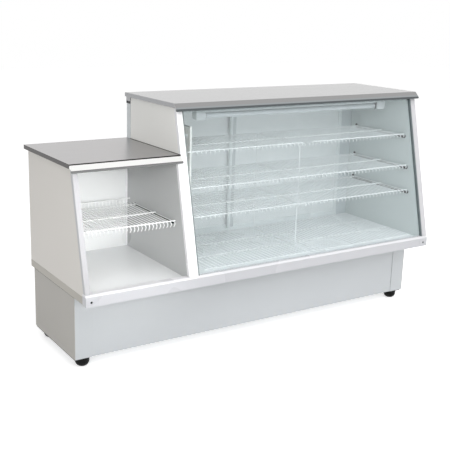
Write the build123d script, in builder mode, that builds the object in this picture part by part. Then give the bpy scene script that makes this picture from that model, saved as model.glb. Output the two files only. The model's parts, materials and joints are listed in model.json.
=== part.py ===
from build123d import *

import os
from math import cos, radians, sin

os.makedirs("parts", exist_ok=True)

# Refrigerated deli counter: a low open section on the left and a taller refrigerated display on the right,
# on one deck and one plinth. The customer stands at -Y and the operator at +Y.
# X = 0 and Y = 0 are the middle of the footprint, and Z = 0 is the floor.

# Overall sizes
body_half_width = 997
worktop_back = 334
sill_front = -334
low_height = 927
high_height = 1150
foot_height = 47

# Sloped front: every strip, gasket and pane is set back from this plane
front_foot_y = -326.6
front_foot_z = 400
front_slope = 0.237
strip_depth = 20

# Deck and sill
deck_bottom = 346
deck_top = 380
deck_front = -296
deck_back = 301
deck_back_display = 329.5
deck_half_width = 994
sill_bottom = 341
sill_top = 394
sill_bevel = 8
sill_cap_width = 55

# Plinth
plinth_half_width = 987.6
plinth_front = -187
plinth_back = 286
plinth_top = 341
sheet = 2
plinth_corner_width = 85

# Worktops
worktop_edge = 20
worktop_overhang = 9
low_worktop_front = -202
high_worktop_front = -153
nose_bevel = 26
nose_lip = 8
nose_wall = 12

# Walls
end_panel_width = 24
low_side_width = 18
insulated_width = 40
divider_left = -475
divider_inner = divider_left + insulated_width
right_wall_inner = body_half_width - insulated_width
display_strip_width = 30
wall_back = 288
low_back_front = 288
low_panel_width = 12

# Rear doors
door_thickness = 16
door_width = 775
right_door_front = 291
left_door_front = 310.5
right_door_left = 119
left_door_left = -453
track_front = 288
track_back = 329.5
track_bottom_z = 1098
groove_play = 0.5
groove_depth = 12
door_bottom = 388.5
door_top = 1108
stile_width = 35
left_end_stile = 40
right_end_stile = 28
rail_height = 22
pane_thickness = 4
left_post_right = -437
right_post_left = 886

# Wire shelves
wire = 3
rod = 5
wire_pitch = 24
gallery_height = 28
low_lip = 26
display_lip = 14
shelf_back = 240
top_shelf_z = 921
middle_shelf_z = 757
lower_shelf_z = 625
top_shelf_front = -155
middle_shelf_front = -189
lower_shelf_front = -209
centre_x = 261
frame_wire = 5
frame_rail_width = 12
cover_right = -374
shelf_play = 3

floor_thickness = 5
display_floor_top = deck_top + floor_thickness
ceiling_bottom = 1106

# Condensing unit
tray_top = 50
fan_x = 710
fan_z = 172
fan_radius = 94
shaft_radius = 3
shaft_play = 0.05


def front_y(z):
    """Y of the sloped front plane at a height."""
    return front_foot_y + front_slope * (z - front_foot_z)


def sloped_band(near, far, bottom, top):
    """Outline of a slab that follows the sloped front, between two depths behind it."""
    return (
        (front_y(bottom) + near, bottom),
        (front_y(bottom) + far, bottom),
        (front_y(top) + far, top),
        (front_y(top) + near, top),
    )


def sloped_panel(back, top):
    """Outline of a side wall: notched over the sill, sloped front edge behind the strip, upright back edge."""
    return (
        (front_y(sill_top) + strip_depth, sill_top),
        (deck_front, sill_top),
        (deck_front, deck_top),
        (back, deck_top),
        (back, top),
        (front_y(top) + strip_depth, top),
    )


def plane_at_y(y):
    """Upright plane across the counter: local x is X, local y is Z, and extrude goes to -Y."""
    return Plane.XZ.offset(-y)


def upright_plane(x, y):
    """Upright plane through a vertical axis, for revolved pieces."""
    return Plane(origin=(x, y, 0), x_dir=(1, 0, 0), z_dir=(0, -1, 0))


# Plinth and feet

foot_places = [(x, y) for x in (-937, 937) for y in (-148, 224)]
foot_radius = 33
foot_sole_radius = 15

with BuildPart() as feet:
    for foot_x, foot_y in foot_places:
        with BuildSketch(upright_plane(foot_x, foot_y)):
            with BuildLine():
                Polyline(
                    (0, 0), (foot_sole_radius, 0), (foot_radius, 22), (foot_radius, foot_height),
                    (0, foot_height), close=True,
                )
            make_face()
        revolve(axis=Axis((foot_x, foot_y, 0), (0, 0, 1)))
feet.part.label = "feet"
export_step(feet.part, "parts/feet.step")

tray_half_width = plinth_half_width - sheet - 2
tray_front = plinth_front + 2 * sheet
tray_back = plinth_back - sheet - 1
tray_middle = (tray_front + tray_back) / 2

with BuildPart() as bottom_tray:
    with BuildSketch(Plane.XY.offset(foot_height)):
        with Locations((0, tray_middle)):
            Rectangle(2 * tray_half_width, tray_back - tray_front)
    extrude(amount=28)
    with BuildSketch(Plane.XY.offset(tray_top)):
        with Locations((0, tray_middle)):
            Rectangle(2 * (tray_half_width - sheet), tray_back - tray_front - 2 * sheet)
    extrude(amount=30, mode=Mode.SUBTRACT)
bottom_tray.part.label = "bottom_tray"
export_step(bottom_tray.part, "parts/bottom_tray.step")

post_size = 40

with BuildPart() as deck_posts:
    with BuildSketch(Plane.XY.offset(tray_top)):
        with Locations((0, tray_middle)):
            with GridLocations(930, 380, 3, 2):
                Rectangle(post_size, post_size)
                Rectangle(post_size - 2 * sheet, post_size - 2 * sheet, mode=Mode.SUBTRACT)
    extrude(amount=deck_bottom - tray_top)
deck_posts.part.label = "deck_posts"
export_step(deck_posts.part, "parts/deck_posts.step")

corner_inner = plinth_half_width - plinth_corner_width

with BuildPart() as plinth_front_panel:
    with BuildSketch(Plane.XY.offset(foot_height)):
        with BuildLine():
            front = plinth_front + sheet
            edge = corner_inner - 0.5
            Polyline(
                (-edge, front), (edge, front), (edge, front + 18), (edge - sheet, front + 18),
                (edge - sheet, front + sheet), (sheet - edge, front + sheet), (sheet - edge, front + 18),
                (-edge, front + 18), close=True,
            )
        make_face()
    extrude(amount=plinth_top - foot_height)
    # The folded ends stop above the rim of the tray
    with BuildSketch(Plane.XY.offset(foot_height)):
        with Locations((0, tray_middle)):
            Rectangle(2 * tray_half_width, tray_back - tray_front)
    extrude(amount=29, mode=Mode.SUBTRACT)
plinth_front_panel.part.label = "plinth_front_panel"
export_step(plinth_front_panel.part, "parts/plinth_front_panel.step")

for side, name in ((-1, "plinth_left_panel"), (1, "plinth_right_panel")):
    with BuildPart() as plinth_side_panel:
        with BuildSketch(Plane.XY.offset(foot_height)):
            with BuildLine():
                outer = side * plinth_half_width
                inner = outer - side * sheet
                hem = outer - side * 18
                Polyline(
                    (outer, plinth_front), (outer, plinth_back), (hem, plinth_back),
                    (hem, plinth_back - sheet), (inner, plinth_back - sheet), (inner, plinth_front), close=True,
                )
            make_face()
        extrude(amount=plinth_top - foot_height)
    plinth_side_panel.part.label = name
    export_step(plinth_side_panel.part, f"parts/{name}.step")

with BuildPart() as plinth_corners:
    with BuildSketch(Plane.XY.offset(foot_height)):
        with BuildLine():
            outer = sheet - plinth_half_width
            Polyline(
                (outer, plinth_front), (-corner_inner, plinth_front), (-corner_inner, plinth_front + sheet),
                (outer + sheet, plinth_front + sheet), (outer + sheet, plinth_front + 60),
                (outer, plinth_front + 60), close=True,
            )
        make_face()
        mirror(about=Plane.YZ)
    extrude(amount=plinth_top - foot_height)
    # Room for the rim of the tray, which stands inside the folded corners
    with BuildSketch(Plane.XY.offset(foot_height)):
        with Locations((0, tray_middle)):
            Rectangle(2 * tray_half_width + 1, tray_back - tray_front + 1)
    extrude(amount=29, mode=Mode.SUBTRACT)
plinth_corners.part.label = "plinth_corners"
export_step(plinth_corners.part, "parts/plinth_corners.step")

# Operator's side of the plinth: an air grille in front of the condenser and the control box's cut-out
control_left = 40
control_right = 220
control_bottom = 212
control_top = 288
control_rim = 10
grille_slots = 18
grille_slot_width = 6
grille_slot_height = 190

with BuildPart() as rear_grille:
    with BuildSketch(plane_at_y(plinth_back - sheet - 0.5)):
        with Locations((0, (plinth_top + tray_top + 28) / 2)):
            Rectangle(2 * (plinth_half_width - sheet), plinth_top - tray_top - 28)
        with Locations((fan_x, fan_z + 10)):
            with GridLocations(16, 1, grille_slots, 1):
                Rectangle(grille_slot_width, grille_slot_height - 20, mode=Mode.SUBTRACT)
        with Locations(((control_left + control_right) / 2, (control_bottom + control_top) / 2)):
            Rectangle(
                control_right - control_left - 2 * control_rim + 1,
                control_top - control_bottom - 2 * control_rim + 1,
                mode=Mode.SUBTRACT,
            )
    extrude(amount=sheet)
rear_grille.part.label = "rear_grille"
export_step(rear_grille.part, "parts/rear_grille.step")

# Deck: the insulated slab that both sections stand on
pipe_x = -412
suction_y = 180
liquid_y = 155
pipe_hole_radius = 8

with BuildPart() as deck:
    with BuildSketch(Plane.XY.offset(deck_bottom)):
        with BuildLine():
            Polyline(
                (-deck_half_width, deck_front), (deck_half_width, deck_front),
                (deck_half_width, deck_back_display), (divider_left, deck_back_display),
                (divider_left, deck_back), (-deck_half_width, deck_back), close=True,
            )
        make_face()
        with Locations((pipe_x, suction_y), (pipe_x, liquid_y)):
            RegularPolygon(pipe_hole_radius, 8, mode=Mode.SUBTRACT)
    extrude(amount=deck_top - deck_bottom)
deck.part.label = "deck"
export_step(deck.part, "parts/deck.step")

with BuildPart() as deck_side_strips:
    for outer in (-body_half_width, deck_half_width):
        with BuildSketch(Plane.XY.offset(deck_bottom)):
            with Locations((outer + 1.5, (deck_front + deck_back) / 2)):
                Rectangle(body_half_width - deck_half_width, deck_back - deck_front)
        extrude(amount=deck_top - deck_bottom)
deck_side_strips.part.label = "deck_side_strips"
export_step(deck_side_strips.part, "parts/deck_side_strips.step")


sill_outline = (
    (sill_front, sill_bottom), (sill_front, sill_top - sill_bevel), (sill_front + sill_bevel, sill_top),
    (deck_front, sill_top), (deck_front, sill_bottom),
)
cap_inner = body_half_width - sill_cap_width

with BuildPart() as sill_profile:
    with BuildSketch(Plane.YZ.offset(-cap_inner)):
        with BuildLine():
            Polyline(*sill_outline, close=True)
        make_face()
        offset(amount=-sheet, mode=Mode.SUBTRACT)
    extrude(amount=2 * cap_inner)
sill_profile.part.label = "sill_profile"
export_step(sill_profile.part, "parts/sill_profile.step")

screw_x = 970.5
screw_z = 361
screw_radius = 5

with BuildPart() as sill_end_caps:
    for start in (-body_half_width, cap_inner):
        with BuildSketch(Plane.YZ.offset(start)):
            with BuildLine():
                Polyline(*sill_outline, close=True)
            make_face()
        extrude(amount=sill_cap_width)
    with BuildSketch(plane_at_y(sill_front + 3)):
        with Locations((-screw_x, screw_z), (screw_x, screw_z)):
            RegularPolygon(screw_radius + 1, 12)
    extrude(amount=4, mode=Mode.SUBTRACT)
sill_end_caps.part.label = "sill_end_caps"
export_step(sill_end_caps.part, "parts/sill_end_caps.step")

with BuildPart() as sill_screws:
    with BuildSketch(plane_at_y(sill_front + 3)):
        with Locations((-screw_x, screw_z), (screw_x, screw_z)):
            RegularPolygon(screw_radius, 12)
            Rectangle(2 * screw_radius + 1, 1.6, rotation=35, mode=Mode.SUBTRACT)
    extrude(amount=2)
    with BuildSketch(plane_at_y(sill_front + 3)):
        with Locations((-screw_x, screw_z), (screw_x, screw_z)):
            RegularPolygon(screw_radius, 12)
    extrude(amount=0.8)
sill_screws.part.label = "sill_screws"
export_step(sill_screws.part, "parts/sill_screws.step")

# Low open section
low_inner_left = -body_half_width + end_panel_width
low_inner_right = divider_left - low_side_width
low_underside = low_height - worktop_edge

with BuildPart() as low_floor:
    with BuildSketch(Plane.XY.offset(deck_top)):
        with Locations(((low_inner_left + low_inner_right) / 2, (deck_front + low_back_front) / 2)):
            Rectangle(low_inner_right - low_inner_left, low_back_front - deck_front)
    extrude(amount=3)
low_floor.part.label = "low_floor"
export_step(low_floor.part, "parts/low_floor.step")

with BuildPart() as left_end_panel:
    with BuildSketch(Plane.YZ.offset(-body_half_width)):
        with BuildLine():
            Polyline(*sloped_panel(deck_back, low_underside), close=True)
        make_face()
    extrude(amount=end_panel_width)
left_end_panel.part.label = "left_end_panel"
export_step(left_end_panel.part, "parts/left_end_panel.step")

with BuildPart() as low_side_panel:
    with BuildSketch(Plane.YZ.offset(low_inner_right)):
        with BuildLine():
            Polyline(*sloped_panel(deck_back, low_underside), close=True)
        make_face()
    extrude(amount=low_side_width)
low_side_panel.part.label = "low_side_panel"
export_step(low_side_panel.part, "parts/low_side_panel.step")

with BuildPart() as low_back_panel:
    with BuildSketch(plane_at_y(low_back_front + low_panel_width)):
        with BuildLine():
            Polyline(
                (low_inner_left, deck_top), (low_inner_right, deck_top),
                (low_inner_right, low_underside), (low_inner_left, low_underside), close=True,
            )
        make_face()
    extrude(amount=low_panel_width)
low_back_panel.part.label = "low_back_panel"
export_step(low_back_panel.part, "parts/low_back_panel.step")


def front_strip(left, width, top):
    """Front edge strip with its two long front edges eased."""
    with BuildPart() as strip:
        with BuildSketch(Plane.YZ.offset(left)):
            with BuildLine():
                Polyline(*sloped_band(0, strip_depth, sill_top, top), close=True)
            make_face()
        extrude(amount=width)
        chamfer(strip.faces().sort_by(Axis.Y)[0].edges().filter_by(Axis.X, reverse=True), 2)
    return strip


left_front_strip = front_strip(-body_half_width, end_panel_width, low_underside)
left_front_strip.part.label = "left_front_strip"
export_step(left_front_strip.part, "parts/left_front_strip.step")

low_right_strip = front_strip(low_inner_right, low_side_width, low_underside)
low_right_strip.part.label = "low_right_strip"
export_step(low_right_strip.part, "parts/low_right_strip.step")


def worktop_section(front, back, top):
    """Worktop section: flat top, 45 degree nose bevel, short lip and a level underside."""
    nose = front - nose_bevel
    lip_bottom = top - nose_bevel - nose_lip
    return (
        (back, top), (front, top), (nose, top - nose_bevel), (nose, lip_bottom),
        (nose + nose_wall, lip_bottom), (nose + nose_wall, top - worktop_edge), (back, top - worktop_edge),
    )


with BuildPart() as low_worktop:
    with BuildSketch(Plane.YZ.offset(-body_half_width - worktop_overhang)):
        with BuildLine():
            Polyline(*worktop_section(low_worktop_front, worktop_back, low_height), close=True)
        make_face()
    extrude(amount=divider_left + body_half_width + worktop_overhang)
    nose_corner = low_worktop.edges().filter_by(Axis.Y, reverse=True).sort_by(Axis.X)[:7].sort_by(Axis.Y)[0:1]
    chamfer(nose_corner, 3)
low_worktop.part.label = "low_worktop"
export_step(low_worktop.part, "parts/low_worktop.step")

# Refrigerated display: walls, strips and pane
high_underside = high_height - worktop_edge

with BuildPart() as divider_panel:
    with BuildSketch(Plane.YZ.offset(divider_left)):
        with BuildLine():
            Polyline(*sloped_panel(wall_back, high_underside), close=True)
        make_face()
    extrude(amount=insulated_width)
divider_panel.part.label = "divider_panel"
export_step(divider_panel.part, "parts/divider_panel.step")

with BuildPart() as right_end_panel:
    with BuildSketch(Plane.YZ.offset(right_wall_inner)):
        with BuildLine():
            Polyline(*sloped_panel(wall_back, high_underside), close=True)
        make_face()
    extrude(amount=insulated_width)
right_end_panel.part.label = "right_end_panel"
export_step(right_end_panel.part, "parts/right_end_panel.step")

display_left_strip = front_strip(divider_left, display_strip_width, high_underside)
display_left_strip.part.label = "display_left_strip"
export_step(display_left_strip.part, "parts/display_left_strip.step")

display_right_strip = front_strip(body_half_width - display_strip_width, display_strip_width, high_underside)
display_right_strip.part.label = "display_right_strip"
export_step(display_right_strip.part, "parts/display_right_strip.step")

gasket_width = 6
glass_left = divider_left + display_strip_width + gasket_width
glass_right = body_half_width - display_strip_width - gasket_width
glass_depth = 12
glass_thickness = 6

with BuildPart() as front_glass:
    with BuildSketch(Plane.YZ.offset(glass_left)):
        with BuildLine():
            Polyline(*sloped_band(glass_depth, glass_depth + glass_thickness, sill_top, high_underside), close=True)
        make_face()
    extrude(amount=glass_right - glass_left)
front_glass.part.label = "front_glass"
export_step(front_glass.part, "parts/front_glass.step")

with BuildPart() as glass_gaskets:
    for start in (glass_left - gasket_width, glass_right):
        with BuildSketch(Plane.YZ.offset(start)):
            with BuildLine():
                Polyline(*sloped_band(2, strip_depth, sill_top, high_underside), close=True)
            make_face()
        extrude(amount=gasket_width)
glass_gaskets.part.label = "glass_gaskets"
export_step(glass_gaskets.part, "parts/glass_gaskets.step")

with BuildPart() as high_worktop:
    with BuildSketch(Plane.YZ.offset(divider_left - worktop_overhang)):
        with BuildLine():
            Polyline(*worktop_section(high_worktop_front, worktop_back, high_height), close=True)
        make_face()
    extrude(amount=body_half_width - divider_left + 2 * worktop_overhang)
high_worktop.part.label = "high_worktop"
export_step(high_worktop.part, "parts/high_worktop.step")

with BuildPart() as display_floor:
    with BuildSketch(Plane.XY.offset(deck_top)):
        with Locations(((divider_inner + right_wall_inner) / 2, (deck_front + wall_back) / 2)):
            Rectangle(right_wall_inner - divider_inner, wall_back - deck_front)
        with Locations((pipe_x, suction_y), (pipe_x, liquid_y)):
            RegularPolygon(pipe_hole_radius, 8, mode=Mode.SUBTRACT)
    extrude(amount=floor_thickness)
display_floor.part.label = "display_floor"
export_step(display_floor.part, "parts/display_floor.step")

ceiling_front = -135

with BuildPart() as ceiling_liner:
    with BuildSketch(Plane.XY.offset(ceiling_bottom)):
        with Locations(((divider_inner + right_wall_inner) / 2, (ceiling_front + wall_back) / 2)):
            Rectangle(right_wall_inner - divider_inner, wall_back - ceiling_front)
    extrude(amount=high_underside - ceiling_bottom)
ceiling_liner.part.label = "ceiling_liner"
export_step(ceiling_liner.part, "parts/ceiling_liner.step")

# Lamp under the ceiling, close behind the pane
lamp_y = -106
lamp_z = 1081
lamp_radius = 13
lamp_left = -299
lamp_right = 759
holder_length = 52
holder_depth = 40
holder_bottom = 1063
batten_bottom = 1096
batten_width = 32
batten_fold = 4

with BuildPart() as lamp_tube:
    with BuildSketch(Plane.YZ.offset(lamp_left)):
        with Locations((lamp_y, lamp_z)):
            Circle(lamp_radius)
    extrude(amount=lamp_right - lamp_left)
lamp_tube.part.label = "lamp_tube"
export_step(lamp_tube.part, "parts/lamp_tube.step")

with BuildPart() as lamp_holders:
    for start in (lamp_left - holder_length, lamp_right):
        with BuildSketch(plane_at_y(lamp_y + holder_depth / 2)):
            with BuildLine():
                FilletPolyline(
                    (start, ceiling_bottom), (start, holder_bottom), (start + holder_length, holder_bottom),
                    (start + holder_length, ceiling_bottom), radius=10,
                )
                Line((start + holder_length, ceiling_bottom), (start, ceiling_bottom))
            make_face()
        extrude(amount=holder_depth)
    # the batten between the holders, a folded channel over the tube
    with BuildSketch(Plane.YZ.offset(lamp_left)):
        with BuildLine():
            Polyline(
                (lamp_y - batten_width / 2, ceiling_bottom), (lamp_y - batten_width / 2, batten_bottom + batten_fold),
                (lamp_y - batten_width / 2 + batten_fold, batten_bottom),
                (lamp_y + batten_width / 2 - batten_fold, batten_bottom),
                (lamp_y + batten_width / 2, batten_bottom + batten_fold), (lamp_y + batten_width / 2, ceiling_bottom),
                close=True,
            )
        make_face()
    extrude(amount=lamp_right - lamp_left)
lamp_holders.part.label = "lamp_holders"
export_step(lamp_holders.part, "parts/lamp_holders.step")

# Rear posts and tracks. The right door runs in the inner groove and the left door in the outer one.
inner_groove = (right_door_front - groove_play, right_door_front + door_thickness + groove_play)
outer_groove = (left_door_front - groove_play, left_door_front + door_thickness + groove_play)

with BuildPart() as rear_posts:
    with BuildSketch(Plane.XY.offset(deck_top)):
        with BuildLine():
            Polyline(
                (divider_left, wall_back + 3), (left_post_right, wall_back + 3),
                (left_post_right, outer_groove[0]), (left_door_left - 2, outer_groove[0]),
                (left_door_left - 2, outer_groove[1]), (left_post_right, outer_groove[1]),
                (left_post_right, track_back), (divider_left, track_back), close=True,
            )
        make_face()
        with BuildLine():
            door_right = right_door_left + door_width + 2
            Polyline(
                (body_half_width, wall_back + 1), (right_post_left, wall_back + 1),
                (right_post_left, inner_groove[0]), (door_right, inner_groove[0]),
                (door_right, inner_groove[1]), (right_post_left, inner_groove[1]),
                (right_post_left, track_back), (body_half_width, track_back), close=True,
            )
        make_face()
    extrude(amount=track_bottom_z - deck_top)
rear_posts.part.label = "rear_posts"
export_step(rear_posts.part, "parts/rear_posts.step")

track_end_overlap = 3

with BuildPart() as door_tracks:
    with BuildSketch(Plane.YZ.offset(divider_left - track_end_overlap)):
        with BuildLine():
            Polyline(
                (track_front, high_underside), (track_front, track_bottom_z),
                (inner_groove[0], track_bottom_z), (inner_groove[0], track_bottom_z + groove_depth),
                (inner_groove[1], track_bottom_z + groove_depth), (inner_groove[1], track_bottom_z),
                (outer_groove[0], track_bottom_z), (outer_groove[0], track_bottom_z + groove_depth),
                (outer_groove[1], track_bottom_z + groove_depth), (outer_groove[1], track_bottom_z),
                (track_back, track_bottom_z), (track_back, high_underside), close=True,
            )
        make_face()
    extrude(amount=body_half_width - divider_left + track_end_overlap)
    sill_track_top = deck_top + 16
    groove_floor = door_bottom - groove_play
    with BuildSketch(Plane.YZ.offset(left_post_right)):
        with BuildLine():
            Polyline(
                (track_front, deck_top), (track_front, sill_track_top),
                (inner_groove[0], sill_track_top), (inner_groove[0], groove_floor),
                (inner_groove[1], groove_floor), (inner_groove[1], sill_track_top),
                (outer_groove[0], sill_track_top), (outer_groove[0], groove_floor),
                (outer_groove[1], groove_floor), (outer_groove[1], sill_track_top),
                (track_back, sill_track_top), (track_back, deck_top), close=True,
            )
        make_face()
    extrude(amount=right_post_left - left_post_right)
door_tracks.part.label = "door_tracks"
export_step(door_tracks.part, "parts/door_tracks.step")


def door_window(left_stile, right_stile):
    """Window of a door, measured from the door's own lower left corner."""
    return (left_stile, rail_height, door_width - right_stile, door_top - door_bottom - rail_height)


def door_frame(left, front, left_stile, right_stile, grip_x):
    """Door frame with a finger grip sunk into the operator's face."""
    x0, z0, x1, z1 = door_window(left_stile, right_stile)
    grip_z = (door_top - door_bottom) / 2
    with BuildPart() as frame:
        with BuildSketch(Plane(origin=(left, front + door_thickness, door_bottom), x_dir=(1, 0, 0), z_dir=(0, -1, 0))):
            Rectangle(door_width, door_top - door_bottom, align=(Align.MIN, Align.MIN))
            with Locations((x0, z0)):
                Rectangle(x1 - x0, z1 - z0, align=(Align.MIN, Align.MIN), mode=Mode.SUBTRACT)
        extrude(amount=door_thickness)
        with BuildSketch(Plane(origin=(left, front + door_thickness, door_bottom), x_dir=(1, 0, 0), z_dir=(0, -1, 0))):
            with Locations((grip_x, grip_z)):
                SlotOverall(140, 12, rotation=90)
        extrude(amount=8, mode=Mode.SUBTRACT)
    return frame


def door_pane(left, front, left_stile, right_stile):
    """Opal pane that fills the window of a door."""
    x0, z0, x1, z1 = door_window(left_stile, right_stile)
    middle = front + (door_thickness + pane_thickness) / 2
    with BuildPart() as pane:
        with BuildSketch(Plane(origin=(left, middle, door_bottom), x_dir=(1, 0, 0), z_dir=(0, -1, 0))):
            with Locations((x0, z0)):
                Rectangle(x1 - x0, z1 - z0, align=(Align.MIN, Align.MIN))
        extrude(amount=pane_thickness)
    return pane


left_door_frame = door_frame(left_door_left, left_door_front, left_end_stile, stile_width, 30)
left_door_frame.part.label = "left_door_frame"
export_step(left_door_frame.part, "parts/left_door_frame.step")

left_door_pane = door_pane(left_door_left, left_door_front, left_end_stile, stile_width)
left_door_pane.part.label = "left_door_pane"
export_step(left_door_pane.part, "parts/left_door_pane.step")

right_door_frame = door_frame(right_door_left, right_door_front, stile_width, right_end_stile, door_width - 18)
right_door_frame.part.label = "right_door_frame"
export_step(right_door_frame.part, "parts/right_door_frame.step")

right_door_pane = door_pane(right_door_left, right_door_front, stile_width, right_end_stile)
right_door_pane.part.label = "right_door_pane"
export_step(right_door_pane.part, "parts/right_door_pane.step")


# Wire shelves: bent cross wires on welded rods, with a lip at the front. Only the low shelf has a rear gallery.

def wire_places(left, right):
    """X of each cross wire, evenly spread between the end rails."""
    gaps = round((right - left - 2 * rod) / wire_pitch)
    pitch = (right - left - 2 * rod) / gaps
    return [left + rod + pitch * (index + 0.5) - wire / 2 for index in range(gaps)]


def wire_shelf(name, left, right, front, back, top, front_rod_left, lip, gallery=0):
    """One shelf: bent cross wires, and the rods that they are welded to. Its loads rest on the two end rails."""
    rear = [(back - wire, top + gallery), (back, top + gallery)] if gallery else [(back, top)]
    inner_corner = [(back - wire, top)] if gallery else []
    with BuildPart() as wires:
        with BuildSketch(*[Plane.YZ.offset(x) for x in wire_places(left, right)]):
            with BuildLine():
                Polyline(
                    *rear, (back, top - wire), (front + wire, top - wire),
                    (front + wire + 0.3 * lip, top - lip), (front + 0.3 * lip, top - lip), (front, top),
                    *inner_corner, close=True,
                )
            make_face()
        extrude(amount=wire)
    with BuildPart() as rods:
        # Ladder under the wires: two end rails, and cross rods at the front, middle and rear
        rail_front = front + 5 * rod
        rail_back = back - 2.5 * rod
        middle = front + 0.47 * (back - front)
        with BuildSketch(Plane.XY.offset(top - wire - rod)):
            for rail_x in (left + rod / 2, right - rod / 2):
                with Locations((rail_x, (rail_front + rail_back) / 2)):
                    Rectangle(rod, rail_back - rail_front)
            for rod_y in (rail_front + rod / 2, middle, rail_back - rod / 2):
                with Locations(((left + right) / 2, rod_y)):
                    Rectangle(right - left, rod)
        extrude(amount=rod)
        # Rod that lies on the wires at the front
        with BuildSketch(Plane.YZ.offset(front_rod_left)):
            with Locations((front + rod / 2, top + rod / 2)):
                Rectangle(rod, rod)
        extrude(amount=right - front_rod_left)
        if gallery:
            with BuildSketch(Plane.YZ.offset(left)):
                with Locations((back - wire - rod / 2, top + gallery - rod / 2)):
                    Rectangle(rod, rod)
            extrude(amount=right - left)
    return Compound(wires.solids() + rods.solids(), label=name)


shelf_left = cover_right + 8
shelf_levels = (
    ("top", top_shelf_z, top_shelf_front),
    ("middle", middle_shelf_z, middle_shelf_front),
    ("lower", lower_shelf_z, lower_shelf_front),
)
half_left = (shelf_left, centre_x - shelf_play)
half_right = (centre_x + shelf_play, right_wall_inner - 5)

for level, shelf_top, shelf_front in shelf_levels:
    for half, (left, right) in (("left", half_left), ("right", half_right)):
        # The top front rods show two quirks: the left one runs on to the wall, the right one starts late
        rod_left = divider_inner + 3 if (level, half) == ("top", "left") else left
        rod_left = left + 55 if (level, half) == ("top", "right") else rod_left
        name = f"{level}_shelf_{half}"
        display_shelf = wire_shelf(name, left, right, shelf_front, shelf_back, shelf_top, rod_left, display_lip)
        export_step(display_shelf, f"parts/{name}.step")

low_shelf_z = 625
low_shelf_front = -211
low_shelf_back = 204
low_arm_width = 9
arm_height = 7

low_shelf = wire_shelf(
    "low_shelf", low_inner_left + 3, low_inner_right - 3, low_shelf_front, low_shelf_back, low_shelf_z,
    low_inner_left + 3, low_lip, gallery_height,
)
export_step(low_shelf, "parts/low_shelf.step")


def arm_outline(front, back, top):
    """Outline of a slim shelf arm seen from the side, with a stop hook at each end."""
    return (
        (front, top - arm_height), (front, top + 4), (front + 4, top + 4), (front + 4, top), (back - 4, top),
        (back - 4, top + 7), (back, top + 7), (back, top - arm_height),
    )


with BuildPart() as low_shelf_brackets:
    for start in (low_inner_left, low_inner_right - low_arm_width):
        with BuildSketch(Plane.YZ.offset(start)):
            with BuildLine():
                Polyline(*arm_outline(low_shelf_front + 4, low_shelf_back - 6, low_shelf_z - wire - rod), close=True)
            make_face()
        extrude(amount=low_arm_width)
low_shelf_brackets.part.label = "low_shelf_brackets"
export_step(low_shelf_brackets.part, "parts/low_shelf_brackets.step")

arm_width = 11

with BuildPart() as shelf_brackets:
    for level, shelf_top, shelf_front in shelf_levels:
        with BuildSketch(Plane.YZ.offset(right_wall_inner - arm_width)):
            with BuildLine():
                Polyline(*arm_outline(shelf_front + 4, shelf_back - 6, shelf_top - wire - rod), close=True)
            make_face()
        extrude(amount=arm_width)
shelf_brackets.part.label = "shelf_brackets"
export_step(shelf_brackets.part, "parts/shelf_brackets.step")

# Centre frame of heavy wire that carries the inner ends of all six shelves
upright_front = -120
upright_back = 246
frame_top = top_shelf_z - wire - rod

with BuildPart() as centre_frame:
    with BuildSketch(Plane.YZ.offset(centre_x - frame_wire / 2)):
        for inset, mode in ((0, Mode.ADD), (frame_wire, Mode.SUBTRACT)):
            near = upright_front - frame_wire / 2 + inset
            far = upright_back + frame_wire / 2 - inset
            with BuildLine():
                FilletPolyline(
                    (near, frame_top), (near, display_floor_top + inset),
                    (far, display_floor_top + inset), (far, frame_top), radius=30 - inset,
                )
                Line((far, frame_top), (near, frame_top))
            make_face(mode=mode)
    extrude(amount=frame_wire)
    # Rails that carry the inner ends of the shelves, reaching forward of the upright
    for level, shelf_top, shelf_front in shelf_levels:
        with BuildSketch(Plane.YZ.offset(centre_x - frame_rail_width / 2)):
            with Locations((shelf_front + 16, shelf_top - wire - rod - frame_wire)):
                Rectangle(upright_back + frame_wire / 2 - shelf_front - 16, frame_wire, align=(Align.MIN, Align.MIN))
        extrude(amount=frame_rail_width)
centre_frame.part.label = "centre_frame"
export_step(centre_frame.part, "parts/centre_frame.step")

# Racks on the display floor
rack_front = -251
rack_back = 270
rack_rods = 4


def floor_rack(name, left, right):
    """Flat rack: straight wires welded on cross rods that lie on the floor."""
    with BuildPart() as wires:
        with BuildSketch(Plane.XY.offset(display_floor_top + rod)):
            with Locations(*[(x + wire / 2, (rack_front + rack_back) / 2) for x in wire_places(left, right)]):
                Rectangle(wire, rack_back - rack_front)
        extrude(amount=wire)
    with BuildPart() as rods:
        with BuildSketch(Plane.XY.offset(display_floor_top)):
            with Locations(((left + right) / 2, (rack_front + rack_back) / 2)):
                with GridLocations(1, (rack_back - rack_front - rod) / (rack_rods - 1), 1, rack_rods):
                    Rectangle(right - left, rod)
        extrude(amount=rod)
    return Compound(wires.solids() + rods.solids(), label=name)


rack_gap = frame_wire / 2 + 2

floor_rack_left = floor_rack("floor_rack_left", shelf_left, centre_x - rack_gap)
export_step(floor_rack_left, "parts/floor_rack_left.step")

floor_rack_right = floor_rack("floor_rack_right", centre_x + rack_gap, right_wall_inner - 5)
export_step(floor_rack_right, "parts/floor_rack_right.step")

# Evaporator on the left wall, behind its cover
cover_front = -127
cover_back = 262
cover_top = 1038
cover_hem = 10
cover_sheet = 2
ledge_width = 10

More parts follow.
